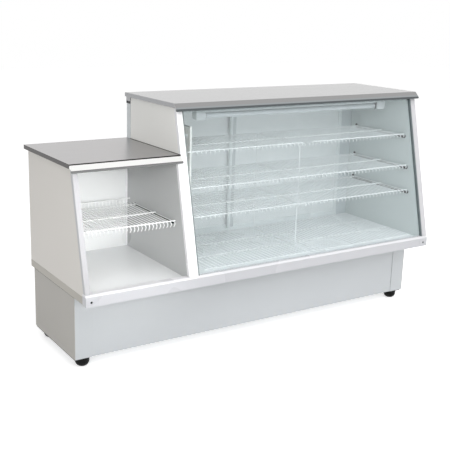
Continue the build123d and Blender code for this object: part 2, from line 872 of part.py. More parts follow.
with BuildPart() as evaporator_cover:
    with BuildSketch(Plane.XY.offset(display_floor_top)):
        with BuildLine():
            sheet_left = cover_right - cover_hem / 2 - cover_sheet / 2
            Polyline(
                (cover_right - cover_hem, cover_front), (cover_right, cover_front),
                (cover_right, cover_front + cover_hem), (sheet_left + cover_sheet, cover_front + cover_hem),
                (sheet_left + cover_sheet, cover_back), (sheet_left, cover_back),
                (sheet_left, cover_front + cover_hem), (cover_right - cover_hem, cover_front + cover_hem), close=True,
            )
        make_face()
        chamfer(vertices().group_by(Axis.Y)[0], 2)
    extrude(amount=cover_top - display_floor_top)
    # Air slots low and high in the sheet
    with BuildSketch(Plane.YZ.offset(sheet_left - 1)):
        with Locations((70, 440), (70, 990)):
            with GridLocations(70, 1, 5, 1):
                Rectangle(50, 14)
    extrude(amount=cover_sheet + 2, mode=Mode.SUBTRACT)
    # Ledges for the left ends of the shelves
    for level, shelf_top, shelf_front in shelf_levels:
        with BuildSketch(Plane.XY.offset(shelf_top - wire - rod - frame_wire)):
            with Locations((sheet_left + cover_sheet, cover_front + cover_hem)):
                Rectangle(ledge_width + 6, 345, align=(Align.MIN, Align.MIN))
        extrude(amount=frame_wire)
evaporator_cover.part.label = "evaporator_cover"
export_step(evaporator_cover.part, "parts/evaporator_cover.step")

coil_left = divider_inner
coil_right = sheet_left - 6
coil_front = -60
coil_back = 190
coil_bottom = 560
coil_top = 960
coil_fins = 16
coil_core = 8

with BuildPart() as evaporator:
    with BuildSketch(Plane.XZ.offset(-coil_back)):
        with Locations(((coil_left + coil_right) / 2, (coil_bottom + coil_top) / 2)):
            Rectangle(coil_right - coil_left, coil_top - coil_bottom)
            with GridLocations(1, (coil_top - coil_bottom) / coil_fins, 1, coil_fins - 1):
                with Locations((coil_core, 0)):
                    Rectangle(
                        coil_right - coil_left - coil_core,
                        (coil_top - coil_bottom) / coil_fins - 4,
                        mode=Mode.SUBTRACT,
                    )
    extrude(amount=coil_back - coil_front)
evaporator.part.label = "evaporator"
export_step(evaporator.part, "parts/evaporator.step")

# Condensing unit in the plinth: compressor, condenser, fan and motor
compressor_x = 400
compressor_y = 60
compressor_radius = 80
compressor_bottom = 62
compressor_top = 262
compressor_seam = 165
round_sides = 24
stub_z = 190
stub_length = 12

with BuildPart() as compressor:
    # Two pressed half shells with a welded seam
    with BuildSketch(Plane.XY.offset(compressor_bottom)):
        with Locations((compressor_x, compressor_y)):
            RegularPolygon(compressor_radius, round_sides)
    extrude(amount=compressor_top - compressor_bottom)
    chamfer(compressor.faces().sort_by(Axis.Z)[-1].edges(), 34)
    chamfer(compressor.faces().sort_by(Axis.Z)[-1].edges(), 12)
    chamfer(compressor.faces().sort_by(Axis.Z)[0].edges(), 18)
    with BuildSketch(Plane.XY.offset(compressor_seam - 4)):
        with Locations((compressor_x, compressor_y)):
            RegularPolygon(compressor_radius + 6, round_sides)
    extrude(amount=8)
    # Base plate and its four feet
    with BuildSketch(Plane.XY.offset(compressor_bottom)):
        with Locations((compressor_x, compressor_y)):
            Rectangle(230, 150)
        chamfer(vertices(), 18)
    extrude(amount=6)
    with BuildSketch(Plane.XY.offset(tray_top)):
        with Locations((compressor_x, compressor_y)):
            with GridLocations(190, 110, 2, 2):
                RegularPolygon(13, 8)
    extrude(amount=compressor_bottom - tray_top)
    # Terminal cover, which is moulded to the shell
    with BuildSketch(Plane.XY.offset(100)):
        with Locations((compressor_x - compressor_radius, compressor_y)):
            Rectangle(50, 62)
    extrude(amount=58)
    # Suction stub towards the operator and discharge stub towards the condenser
    with BuildSketch(plane_at_y(compressor_y + compressor_radius + stub_length)):
        with Locations((compressor_x, stub_z)):
            RegularPolygon(7, 8)
    extrude(amount=stub_length + 8)
    with BuildSketch(Plane.YZ.offset(compressor_x + compressor_radius + stub_length)):
        with Locations((compressor_y, stub_z)):
            RegularPolygon(5.5, 8)
    extrude(amount=-stub_length - 8)
compressor.part.label = "compressor"
export_step(compressor.part, "parts/compressor.step")

condenser_left = 560
condenser_right = 860
condenser_front = 196
condenser_back = 256
condenser_top = 292
condenser_fins = 16
condenser_core = 10

with BuildPart() as condenser:
    with BuildSketch(Plane.XY.offset(tray_top)):
        with Locations(((condenser_left + condenser_right) / 2, (condenser_front + condenser_back) / 2)):
            Rectangle(condenser_right - condenser_left, condenser_back - condenser_front)
            with GridLocations((condenser_right - condenser_left) / condenser_fins, 1, condenser_fins - 1, 1):
                gap_depth = (condenser_back - condenser_front - condenser_core) / 2
                gap_width = (condenser_right - condenser_left) / condenser_fins - 3
                with Locations((0, (condenser_core + gap_depth) / 2), (0, -(condenser_core + gap_depth) / 2)):
                    Rectangle(gap_width, gap_depth, mode=Mode.SUBTRACT)
    extrude(amount=condenser_top - tray_top)
condenser.part.label = "condenser"
export_step(condenser.part, "parts/condenser.step")

shroud_front = 176
shroud_plate = 2
shroud_bore = fan_radius + 4

with BuildPart() as fan_shroud:
    with BuildSketch(plane_at_y(condenser_front)):
        with Locations((fan_x, (condenser_top + tray_top) / 2)):
            Rectangle(condenser_right - condenser_left, condenser_top - tray_top)
        with Locations((fan_x, fan_z)):
            RegularPolygon(shroud_bore, round_sides, mode=Mode.SUBTRACT)
    extrude(amount=shroud_plate)
    with BuildSketch(plane_at_y(condenser_front)):
        with Locations((fan_x, fan_z)):
            RegularPolygon(shroud_bore + sheet, round_sides)
            RegularPolygon(shroud_bore, round_sides, mode=Mode.SUBTRACT)
    extrude(amount=condenser_front - shroud_front)
fan_shroud.part.label = "fan_shroud"
export_step(fan_shroud.part, "parts/fan_shroud.step")

hub_radius = 26
hub_front = 160
hub_back = 186
blade_count = 5
blade_pitch = 28
blade_thickness = 2
motor_radius = 38
motor_front = 92
motor_back = 150

with BuildPart() as fan_blades:
    with BuildSketch(plane_at_y(hub_back)):
        with Locations((fan_x, fan_z)):
            RegularPolygon(hub_radius, round_sides)
    extrude(amount=hub_back - hub_front)
    for index in range(blade_count):
        turn = radians(360 / blade_count * index)
        radial = (cos(turn), 0, sin(turn))
        tangent = (-sin(turn), 0, cos(turn))
        pitch = radians(blade_pitch)
        normal = (sin(pitch) * tangent[0], cos(pitch), sin(pitch) * tangent[2])
        middle = (hub_front + hub_back) / 2
        with BuildSketch(Plane(origin=(fan_x, middle, fan_z), x_dir=radial, z_dir=normal)):
            with BuildLine():
                root = hub_radius - 3
                tip = fan_radius - 2
                Polyline((root, -12), (tip - 8, -30), (tip, -2), (tip - 10, 26), (root, 14), close=True)
            make_face()
        extrude(amount=blade_thickness / 2, both=True)
    # Shaft, pressed into the hub, which turns in the motor's bearing
    with BuildSketch(plane_at_y(hub_front)):
        with Locations((fan_x, fan_z)):
            Circle(shaft_radius)
    extrude(amount=30)
fan_blades.part.label = "fan_blades"
export_step(fan_blades.part, "parts/fan_blades.step")

strap_half_span = 118
strap_height = 20

with BuildPart() as fan_motor:
    with BuildSketch(plane_at_y(motor_back)):
        with Locations((fan_x, fan_z)):
            RegularPolygon(motor_radius, round_sides)
    extrude(amount=motor_back - motor_front)
    chamfer(fan_motor.faces().sort_by(Axis.Y)[0].edges(), 6)
    # Strap from the motor to the shroud
    with BuildSketch(Plane.XY.offset(fan_z - strap_height / 2)):
        with BuildLine():
            Polyline(
                (fan_x - strap_half_span, condenser_front - shroud_plate), (fan_x - strap_half_span, motor_front - 3),
                (fan_x + strap_half_span, motor_front - 3), (fan_x + strap_half_span, condenser_front - shroud_plate),
                (fan_x + strap_half_span - 3, condenser_front - shroud_plate),
                (fan_x + strap_half_span - 3, motor_front), (fan_x - strap_half_span + 3, motor_front),
                (fan_x - strap_half_span + 3, condenser_front - shroud_plate), close=True,
            )
        make_face()
    extrude(amount=strap_height)
    # Bearing bore
    with BuildSketch(plane_at_y(motor_back)):
        with Locations((fan_x, fan_z)):
            Circle(shaft_radius + shaft_play)
    extrude(amount=24, mode=Mode.SUBTRACT)
fan_motor.part.label = "fan_motor"
export_step(fan_motor.part, "parts/fan_motor.step")

# Pipes between the evaporator and the condensing unit
suction_radius = 5
liquid_radius = 3
suction_run_z = 320
liquid_run_z = 306
suction_stub_y = compressor_y + compressor_radius + stub_length
discharge_stub_x = compressor_x + compressor_radius + stub_length
core_y = (condenser_front + condenser_back) / 2


def pipe(route, radius, bend):
    """Eight-sided pipe along a route, with a short leg at 45 degrees in each bend."""
    points = [Vector(*route[0])]
    for before, corner, after in zip(route, route[1:], route[2:]):
        points.append(Vector(*corner) + (Vector(*before) - Vector(*corner)).normalized() * bend)
        points.append(Vector(*corner) + (Vector(*after) - Vector(*corner)).normalized() * bend)
    points.append(Vector(*route[-1]))
    with BuildPart() as tube:
        with BuildLine() as line:
            Polyline(*points)
        with BuildSketch(Plane(origin=line.line @ 0, z_dir=line.line % 0)):
            RegularPolygon(radius, 8)
        sweep(transition=Transition.RIGHT)
    return tube.part


suction_pipe = pipe(
    [
        (pipe_x, suction_y, coil_bottom), (pipe_x, suction_y, suction_run_z),
        (compressor_x, suction_y, suction_run_z), (compressor_x, suction_y, stub_z),
        (compressor_x, suction_stub_y, stub_z),
    ],
    suction_radius, 12,
)
liquid_pipe = pipe(
    [
        (pipe_x, liquid_y, coil_bottom), (pipe_x, liquid_y, liquid_run_z),
        (condenser_left + 20, liquid_y, liquid_run_z), (condenser_left + 20, core_y, liquid_run_z),
        (condenser_left + 20, core_y, condenser_top),
    ],
    liquid_radius, 6,
)
discharge_pipe = pipe(
    [
        (discharge_stub_x, compressor_y, stub_z), (discharge_stub_x + 30, compressor_y, stub_z),
        (discharge_stub_x + 30, compressor_y, liquid_run_z), (condenser_left + 44, compressor_y, liquid_run_z),
        (condenser_left + 44, core_y, liquid_run_z), (condenser_left + 44, core_y, condenser_top),
    ],
    liquid_radius, 6,
)

with BuildPart() as refrigerant_pipes:
    add([suction_pipe, liquid_pipe, discharge_pipe])
refrigerant_pipes.part.label = "refrigerant_pipes"
export_step(refrigerant_pipes.part, "parts/refrigerant_pipes.step")

# Control box in the rear panel: thermostat knob, lamp switch and mains inlet
control_plate = 3
control_face = plinth_back + 1
control_depth = 44
knob_x = 78
switch_x = 130
inlet_x = 180
control_z = (control_bottom + control_top) / 2
knob_radius = 16
knob_height = 17
switch_width = 13
switch_height = 21
switch_play = 1
pivot_radius = 1.5
pivot_length = switch_width + 2 * switch_play + 4
rocker_y = control_face + control_plate - 3

with BuildPart() as control_box:
    with BuildSketch(plane_at_y(control_face + control_plate)):
        with Locations(((control_left + control_right) / 2, control_z)):
            Rectangle(control_right - control_left, control_top - control_bottom)
        chamfer(vertices(), 4)
    extrude(amount=control_plate)
    with BuildSketch(plane_at_y(control_face)):
        with Locations(((control_left + control_right) / 2, control_z)):
            Rectangle(
                control_right - control_left - 2 * control_rim, control_top - control_bottom - 2 * control_rim
            )
    extrude(amount=control_depth)
    with BuildSketch(plane_at_y(control_face + control_plate)):
        with Locations((knob_x, control_z)):
            Circle(shaft_radius + shaft_play)
        with Locations((switch_x, control_z)):
            Rectangle(switch_width + 2 * switch_play, switch_height + 2 * switch_play)
        with Locations((inlet_x, control_z)):
            Rectangle(28, 21)
    extrude(amount=22, mode=Mode.SUBTRACT)
    # Holes for the pivots of the switch
    with BuildSketch(Plane.YZ.offset(switch_x - pivot_length / 2 - 1)):
        with Locations((rocker_y, control_z)):
            Circle(pivot_radius + shaft_play)
    extrude(amount=pivot_length + 2, mode=Mode.SUBTRACT)
    # Three pins of the mains inlet
    with BuildSketch(plane_at_y(control_face + control_plate - 6)):
        with Locations((inlet_x - 7, control_z - 2), (inlet_x + 7, control_z - 2), (inlet_x, control_z + 4)):
            Rectangle(2, 5)
    extrude(amount=16)
control_box.part.label = "control_box"
export_step(control_box.part, "parts/control_box.step")

knob_face = control_face + control_plate + 1

with BuildPart() as thermostat_knob:
    with BuildSketch(plane_at_y(knob_face + knob_height)):
        with Locations((knob_x, control_z)):
            RegularPolygon(knob_radius, round_sides)
    extrude(amount=knob_height)
    chamfer(thermostat_knob.faces().sort_by(Axis.Y)[-1].edges(), 2)
    # Grip bar across the knob
    with BuildSketch(plane_at_y(knob_face + knob_height + 6)):
        with Locations((knob_x, control_z)):
            Rectangle(7, 2 * knob_radius - 4)
    extrude(amount=8)
    with BuildSketch(plane_at_y(knob_face)):
        with Locations((knob_x, control_z)):
            Circle(shaft_radius)
    extrude(amount=18)
thermostat_knob.part.label = "thermostat_knob"
export_step(thermostat_knob.part, "parts/thermostat_knob.step")

rocker_tilt = radians(9)
rocker_left = (switch_x - switch_width / 2, rocker_y, control_z)

with BuildPart() as lamp_switch:
    with BuildSketch(Plane(origin=rocker_left, x_dir=(0, cos(rocker_tilt), sin(rocker_tilt)), z_dir=(1, 0, 0))):
        with BuildLine():
            half = switch_height / 2
            Polyline((-6, -half + 2), (4, -half), (2, 0), (4, half), (-6, half - 2), close=True)
        make_face()
    extrude(amount=switch_width)
    with BuildSketch(Plane.YZ.offset(switch_x - pivot_length / 2)):
        with Locations((rocker_y, control_z)):
            Circle(pivot_radius)
    extrude(amount=pivot_length)
lamp_switch.part.label = "lamp_switch"
export_step(lamp_switch.part, "parts/lamp_switch.step")
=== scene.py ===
import json
import math
import bpy
from mathutils import Matrix, Vector

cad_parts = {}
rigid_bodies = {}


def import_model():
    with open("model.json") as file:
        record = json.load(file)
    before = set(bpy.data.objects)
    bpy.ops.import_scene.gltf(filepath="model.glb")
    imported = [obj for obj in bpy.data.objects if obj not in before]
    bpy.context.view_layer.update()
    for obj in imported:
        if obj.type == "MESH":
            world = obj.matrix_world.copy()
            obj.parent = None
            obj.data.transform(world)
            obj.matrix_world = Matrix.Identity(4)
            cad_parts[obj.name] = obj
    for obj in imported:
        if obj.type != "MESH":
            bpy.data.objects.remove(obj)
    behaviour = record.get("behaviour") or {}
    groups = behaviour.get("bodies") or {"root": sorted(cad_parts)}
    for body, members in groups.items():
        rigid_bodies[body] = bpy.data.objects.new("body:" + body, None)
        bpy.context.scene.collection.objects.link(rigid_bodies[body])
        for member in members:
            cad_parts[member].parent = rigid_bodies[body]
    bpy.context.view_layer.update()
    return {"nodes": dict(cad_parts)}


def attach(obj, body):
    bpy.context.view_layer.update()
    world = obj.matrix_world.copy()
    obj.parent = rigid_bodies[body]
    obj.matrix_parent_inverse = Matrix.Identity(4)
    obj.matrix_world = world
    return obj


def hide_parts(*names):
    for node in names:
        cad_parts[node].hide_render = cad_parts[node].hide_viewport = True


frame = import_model()
nodes = frame["nodes"]
print("frame loaded,", len(nodes), "nodes")


# helpers for materials

def hexColour(code):
    # sRGB hex to the linear numbers that shaders take
    channels = [int(code[i:i + 2], 16) / 255 for i in (1, 3, 5)]
    linear = [c / 12.92 if c <= 0.04045 else ((c + 0.055) / 1.055) ** 2.4 for c in channels]
    return (*linear, 1.0)


def feed(tree, node, inputs):
    # fills a node's sockets with values or links, where another node stands for its first output
    for socket, value in inputs.items():
        if isinstance(value, bpy.types.Node):
            value = value.outputs[0]
        if isinstance(value, bpy.types.NodeSocket):
            tree.links.new(value, node.inputs[socket])
        else:
            node.inputs[socket].default_value = value


def addNode(tree, kind, inputs=None, **settings):
    # adds one node, sets its options and feeds it
    node = tree.nodes.new("ShaderNode" + kind)
    for key, value in settings.items():
        setattr(node, key, value)
    feed(tree, node, inputs or {})
    return node


def newMaterial(name):
    # an empty finish, which pieces and nodes then take by its name
    material = bpy.data.materials.new(name)
    material.use_nodes = True
    tree = material.node_tree
    tree.nodes.clear()
    shader = addNode(tree, "BsdfPrincipled")
    addNode(tree, "OutputMaterial", {"Surface": shader})
    return tree, shader


def dress(finish, *names):
    # gives CAD nodes their finish
    for name in names:
        for slot in nodes[name].material_slots:
            slot.material = bpy.data.materials[finish]


def noiseAt(tree, place, scale, detail, stretch):
    # a noise on the piece's own places, where a small number in stretch draws it out along that axis
    mapping = addNode(tree, "Mapping", {"Vector": place, "Scale": stretch})
    return addNode(tree, "TexNoise", {"Vector": mapping, "Scale": scale, "Detail": detail})


def toneSpread(tree, place, tones, scale, stretch=(1, 1, 1)):
    # soft drift between two near tones, as a real finish has over a wide sheet
    ramp = addNode(tree, "ValToRGB", {"Fac": noiseAt(tree, place, scale, 3.0, stretch)})
    for stop, position, tone in zip(ramp.color_ramp.elements, (0.3, 0.7), tones):
        stop.position = position
        stop.color = hexColour(tone)
    return ramp


def sheenSpread(tree, place, limits, scale, stretch=(1, 1, 1)):
    # roughness that wanders between its two limits
    low, high = limits
    return addNode(tree, "MapRange", {
        "Value": noiseAt(tree, place, scale, 2.0, stretch), "From Min": 0.25, "From Max": 0.75,
        "To Min": low, "To Max": high,
    })


def relief(tree, place, depth, scale, stretch=(1, 1, 1)):
    # the shallow texture that a coat, a mould or a brush leaves
    return addNode(tree, "Bump", {
        "Height": noiseAt(tree, place, scale, 2.0, stretch), "Distance": depth, "Strength": 0.5})


# painted sheet steel: baked powder coat, which gives the eye a soft even sheen with faint orange peel
paintFinishes = {
    "powderCoatWallWhite": {"tones": ("#D8D4CE", "#DCD9D3"), "rough": (0.34, 0.44)},
    "powderCoatDividerWhite": {"tones": ("#F6F6F2", "#FAFAF6"), "rough": (0.34, 0.44)},
    "powderCoatLowLiner": {"tones": ("#EDEFEF", "#F1F3F3"), "rough": (0.26, 0.34)},
    # a darker copy of the low liner for the low section's right wall: painted shade under the worktop
    "powderCoatLowSideShaded": {"tones": ("#C4C6C6", "#CACCCC"), "rough": (0.26, 0.34)},
    "powderCoatDisplayFloor": {"tones": ("#F3F6F7", "#F7F9FA"), "rough": (0.24, 0.30)},
    "powderCoatLinerWhite": {"tones": ("#D3DAD9", "#D9DFDE"), "rough": (0.26, 0.34)},
    "powderCoatTrimWhite": {"tones": ("#F7F7F9", "#FAFAFC"), "rough": (0.24, 0.32)},
    "powderCoatDeckEdge": {"tones": ("#AEAAA1", "#B4B0A7"), "rough": (0.34, 0.44)},
    # darker copies of the trim white for the display's right strip and the low section's left front strip:
    # painted shade
    "powderCoatRightStripShaded": {"tones": ("#CBCBCE", "#D1D1D4"), "rough": (0.24, 0.32)},
    "powderCoatLowStripShaded": {"tones": ("#B9B9BC", "#BFBFC2"), "rough": (0.24, 0.32)},
    "powderCoatPostGrey": {"tones": ("#D8DEE0", "#DEE4E6"), "rough": (0.26, 0.34)},
    # the sill's tones are a darker copy of the trim white, painted shade on its front; its top face takes
    # more light than its front, so what lies above ledgeZ is painted lighter
    "powderCoatSillWhite": {"tones": ("#C5C6CA", "#C8C9CD"), "rough": (0.24, 0.32), "ledge": "#E6E6E9",
                            "ledgeZ": 0.3855},
    "powderCoatDoorWhite": {"tones": ("#F2F6F6", "#F6FAFA"), "rough": (0.26, 0.34)},
    "powderCoatPlinthGrey": {"tones": ("#C6CACD", "#CCD0D3"), "rough": (0.36, 0.46)},
    "powderCoatCornerGrey": {"tones": ("#C5C9CC", "#CBCFD2"), "rough": (0.36, 0.46)},
    # a darkened paint for the recessed plinth sides: painted shade under the deck's overhang
    "powderCoatPlinthSideShaded": {"tones": ("#AEABA5", "#B4B1AB"), "rough": (0.38, 0.48)},
    "powderCoatFloorWhite": {"tones": ("#F6F8F9", "#FAFBFC"), "rough": (0.12, 0.20)},
}
# drifts are in patches per metre; real orange peel is 1 to 2 mm wide, and drawn at 4 mm so that it shows
paintTexture = {"toneDrift": 1.2, "sheenDrift": 2.0, "peelPitch": 0.004, "peelDepth": 0.00003, "ior": 1.5}


def makePaint(name, look):
    tree, shader = newMaterial(name)
    place = addNode(tree, "TexCoord").outputs["Object"]
    colour = toneSpread(tree, place, look["tones"], paintTexture["toneDrift"])
    # the band above ledgeZ is painted light on the sill's top face
    if "ledge" in look:
        height = addNode(tree, "SeparateXYZ", {"Vector": place}).outputs["Z"]
        above = addNode(tree, "Math", {0: height, 1: look["ledgeZ"]}, operation="GREATER_THAN")
        colour = addNode(tree, "MixRGB", {
            "Fac": above, "Color1": colour, "Color2": hexColour(look["ledge"])})
    rough = sheenSpread(tree, place, look["rough"], paintTexture["sheenDrift"])
    peel = relief(tree, place, paintTexture["peelDepth"], 1 / paintTexture["peelPitch"])
    feed(tree, shader, {"Base Color": colour, "Roughness": rough, "Normal": peel})
    shader.inputs["IOR"].default_value = paintTexture["ior"]


for name, look in paintFinishes.items():
    makePaint(name, look)
# the rear grille takes the same darkened plinth-side paint, with its painted shade
dress("powderCoatPlinthSideShaded", "rear_grille")
print("paint done")


# worktops: satin stainless sheet folded over a core, which gives long soft reflections
worktopLook = {
    "brushPitch": 0.0016, "lineDepth": 0.00001, "seamWidth": 0.004,
    # how far outside the front line, or under the top face, the tone of each band begins
    "nose": 0.0005, "bevel": 0.0165, "lip": 0.0235, "top": 0.0004, "seam": 0.0045,
    # on one steel, the nose and bevel tones are painted reflections, white on the low top and grey on the
    # high one, and the lip and edge tones are painted shade
    "low": {"top": "#B4B2B2", "nose": "#FBFBF9", "bevel": "#FBFBF9", "lip": "#7F8080", "edge": "#4A4847",
            "seam": "#2A2625", "frontY": -0.202, "topZ": 0.927, "seamX": -0.4465, "rough": (0.28, 0.36)},
    # no wall stands on this top, so its seamX is past the counter's end
    "high": {"top": "#A8A8A8", "nose": "#A0A0A0", "bevel": "#A0A4A6", "lip": "#606567", "edge": "#9A9B9D",
             "seam": "#A0A0A0", "frontY": -0.153, "topZ": 1.150, "seamX": 9.0, "rough": (0.16, 0.24)},
}


def makeSteelTop(name, look):
    tree, shader = newMaterial(name)
    place = addNode(tree, "TexCoord").outputs["Object"]
    axes = addNode(tree, "SeparateXYZ", {"Vector": place}).outputs
    # brushing runs along the counter, in lines 1.6 mm apart because the real grit is too fine to show
    rough = sheenSpread(tree, place, look["rough"], 1 / worktopLook["brushPitch"], (0.02, 1, 1))
    lines = relief(tree, place, worktopLook["lineDepth"], 1 / worktopLook["brushPitch"], (0.01, 1, 1))
    # ends and underside take the edge tone, painted shade
    colour = hexColour(look["edge"])
    # the nose and bevel bands are painted reflections and the lip band is painted shade; the top band is the
    # steel's own tint
    bands = (
        ("nose", "Y", "LESS_THAN", look["frontY"]), ("bevel", "Y", "LESS_THAN", look["frontY"]),
        ("lip", "Z", "LESS_THAN", look["topZ"]), ("top", "Z", "GREATER_THAN", look["topZ"]),
    )
    for band, axis, side, edge in bands:
        inside = addNode(tree, "Math", {0: axes[axis], 1: edge - worktopLook[band]}, operation=side)
        colour = addNode(tree, "MixRGB", {
            "Fac": inside, "Color1": colour, "Color2": hexColour(look[band])})
    # dark joint where the sheet meets the nose profile, and where it meets the wall of the display
    joint = addNode(tree, "Math", {
        0: axes["Y"], 1: look["frontY"], 2: worktopLook["seamWidth"]}, operation="COMPARE")
    corner = addNode(tree, "Math", {0: axes["X"], 1: look["seamX"]}, operation="GREATER_THAN")
    nearJoint = addNode(tree, "Math", {0: joint, 1: corner}, operation="MAXIMUM")
    level = addNode(tree, "Math", {
        0: axes["Z"], 1: look["topZ"] - worktopLook["seam"]}, operation="GREATER_THAN")
    seam = addNode(tree, "Math", {0: nearJoint, 1: level}, operation="MULTIPLY")
    colour = addNode(tree, "MixRGB", {"Fac": seam, "Color1": colour, "Color2": hexColour(look["seam"])})
    feed(tree, shader, {"Base Color": colour, "Roughness": rough, "Normal": lines})
    shader.inputs["Metallic"].default_value = 1.0


makeSteelTop("satinStainlessLowTop", worktopLook["low"])
makeSteelTop("satinStainlessHighTop", worktopLook["high"])
print("worktops done")


# metals: drawn, rolled or galvanised, each with the streaks its making leaves
metalFinishes = {
    # anodised aluminium extrusion, with fine draw lines along its length
    "anodisedAluminium": {"tones": ("#9A9B9D", "#A9AAAC"), "rough": (0.28, 0.38), "pitch": 0.002,
                          "stretch": (0.03, 1, 1)},
    # rolled aluminium fins, thin bright edges with grey oxide between
    "rolledAluminiumFin": {"tones": ("#A8AAAD", "#C6C8CA"), "rough": (0.34, 0.5), "pitch": 0.003,
                           "stretch": (1, 0.1, 0.1)},
    # zinc plated screw, slightly yellow and bright
    "zincPlatedSteel": {"tones": ("#8C8D8E", "#A6A6A4"), "rough": (0.25, 0.35), "pitch": 0.001,
                        "stretch": (1, 1, 1)},
    # phosphated strip, dull and dark grey
    "phosphatedSteel": {"tones": ("#2E3234", "#3C4043"), "rough": (0.42, 0.55), "pitch": 0.002,
                        "stretch": (1, 1, 1)},
    # drawn copper tube, with brown blotches where it was brazed
    "drawnCopperTube": {"tones": ("#B4714F", "#D08A64"), "rough": (0.22, 0.4), "pitch": 0.01,
                        "stretch": (0.3, 1, 1)},
}
metalTexture = {"patch": 5, "depth": 0.00002}  # a patch of one tone is five streaks wide


def makeMetal(name, look):
    tree, shader = newMaterial(name)
    place = addNode(tree, "TexCoord").outputs["Object"]
    patches = 1 / (metalTexture["patch"] * look["pitch"])
    colour = toneSpread(tree, place, look["tones"], patches, look["stretch"])
    rough = sheenSpread(tree, place, look["rough"], 1 / look["pitch"], look["stretch"])
    streaks = relief(tree, place, metalTexture["depth"], 1 / look["pitch"], look["stretch"])
    feed(tree, shader, {"Base Color": colour, "Roughness": rough, "Normal": streaks})
    shader.inputs["Metallic"].default_value = 1.0


# galvanised sheet: hot-dipped zinc, whose crystals show as pale and dark flakes
galvanised = {"flake": 0.012, "tones": ("#8F9497", "#B4B9BC"), "rough": (0.32, 0.5), "metallic": 0.85}


def makeGalvanised():
    tree, shader = newMaterial("hotDippedZincSheet")
    place = addNode(tree, "TexCoord").outputs["Object"]
    flakes = addNode(tree, "TexVoronoi", {"Vector": place, "Scale": 1 / galvanised["flake"]})
    level = addNode(tree, "SeparateColor", {"Color": flakes.outputs["Color"]})
    ramp = addNode(tree, "ValToRGB", {"Fac": level})
    for stop, tone in zip(ramp.color_ramp.elements, galvanised["tones"]):
        stop.color = hexColour(tone)
    smooth, dull = galvanised["rough"]
    rough = addNode(tree, "MapRange", {"Value": level.outputs[1], "To Min": smooth, "To Max": dull})
    feed(tree, shader, {"Base Color": ramp, "Roughness": rough})
    shader.inputs["Metallic"].default_value = galvanised["metallic"]


for name, look in metalFinishes.items():
    makeMetal(name, look)
makeGalvanised()
dress("hotDippedZincSheet", "bottom_tray", "deck_posts")
print("metals done")


# plastics, rubber, enamel and coated wire; shine is the specular level
plainFinishes = {
    # moulded rubber: matt black with a dusty bloom
    "mouldedRubber": {"tones": ("#030303", "#070707"), "rough": (0.4, 0.55), "pitch": 0.002, "depth": 0.0001,
                      "shine": 0.15},
    # extruded sealing strip, smoother than the feet
    "extrudedGasket": {"tones": ("#6A7375", "#757E80"), "rough": (0.45, 0.6), "pitch": 0.002,
                       "depth": 0.00005},
    # wire dipped in white plastic, glossy with soft runs
    "dippedWhiteWire": {"tones": ("#F8FAFA", "#FCFDFD"), "rough": (0.34, 0.44), "pitch": 0.003,
                        "depth": 0.00005, "shine": 0.9},
    # opal acrylic sheet, which looks milky and even
    "opalAcrylic": {"tones": ("#F4F7F7", "#F8FAFA"), "rough": (0.18, 0.24), "pitch": 0.02, "depth": 0.00002},
    # grey strip on the meeting stile, painted shade where the two doors overlap, matt and without grain
    "stileShadeGrey": {"tones": ("#D6DADB", "#DCE0E1"), "rough": (0.4, 0.5), "pitch": 0.004, "depth": 0.00003},
    # frosted glass of the lamp tube, an even satin white
    "frostedTube": {"tones": ("#CBD1D3", "#D2D7D9"), "rough": (0.14, 0.2), "pitch": 0.01, "depth": 0.00001},
    # moulded white ABS of the lamp holders, with a soft sheen
    "mouldedWhiteAbs": {"tones": ("#CBD0D1", "#D0D5D6"), "rough": (0.3, 0.38), "pitch": 0.0015,
                        "depth": 0.00003},
    # stoved enamel of the compressor and motor, deep black with a slight ripple
    "stovedBlackEnamel": {"tones": ("#131314", "#1C1C1D"), "rough": (0.28, 0.42), "pitch": 0.004,
                          "depth": 0.00008},
    # glass-filled nylon of the fan, dull and faintly grained
    "mouldedNylon": {"tones": ("#1B1C1D", "#242527"), "rough": (0.42, 0.55), "pitch": 0.0012,
                     "depth": 0.00004},
    # moulded ABS: finely pitted and dull on the control box, smooth with a clear highlight on its knob
    "grainedBlackAbs": {"tones": ("#232426", "#2B2C2E"), "rough": (0.45, 0.55), "pitch": 0.0014,
                        "depth": 0.00006},
    "smoothBlackAbs": {"tones": ("#151617", "#1B1C1D"), "rough": (0.25, 0.35), "pitch": 0.0014,
                       "depth": 0.00002},
}
plainTexture = {"toneDrift": 20.0, "sheenDrift": 30.0, "ior": 1.5, "shine": 0.5}


def makePlain(name, look):
    tree, shader = newMaterial(name)
    place = addNode(tree, "TexCoord").outputs["Object"]
    colour = toneSpread(tree, place, look["tones"], plainTexture["toneDrift"])
    rough = sheenSpread(tree, place, look["rough"], plainTexture["sheenDrift"])
    texture = relief(tree, place, look["depth"], 1 / look["pitch"])
    feed(tree, shader, {"Base Color": colour, "Roughness": rough, "Normal": texture})
    shader.inputs["IOR"].default_value = plainTexture["ior"]
    shader.inputs["Specular IOR Level"].default_value = look.get("shine", plainTexture["shine"])


for name, look in plainFinishes.items():
    makePlain(name, look)
dress("opalAcrylic", "left_door_pane", "right_door_pane")
print("plastics done")


# toughened float glass, clear with a green-blue cast; lamps and soft light pass it
glassLook = {"tint": "#F5F9FA", "through": "#F8FAFB", "ior": 1.5, "rough": 0.0}


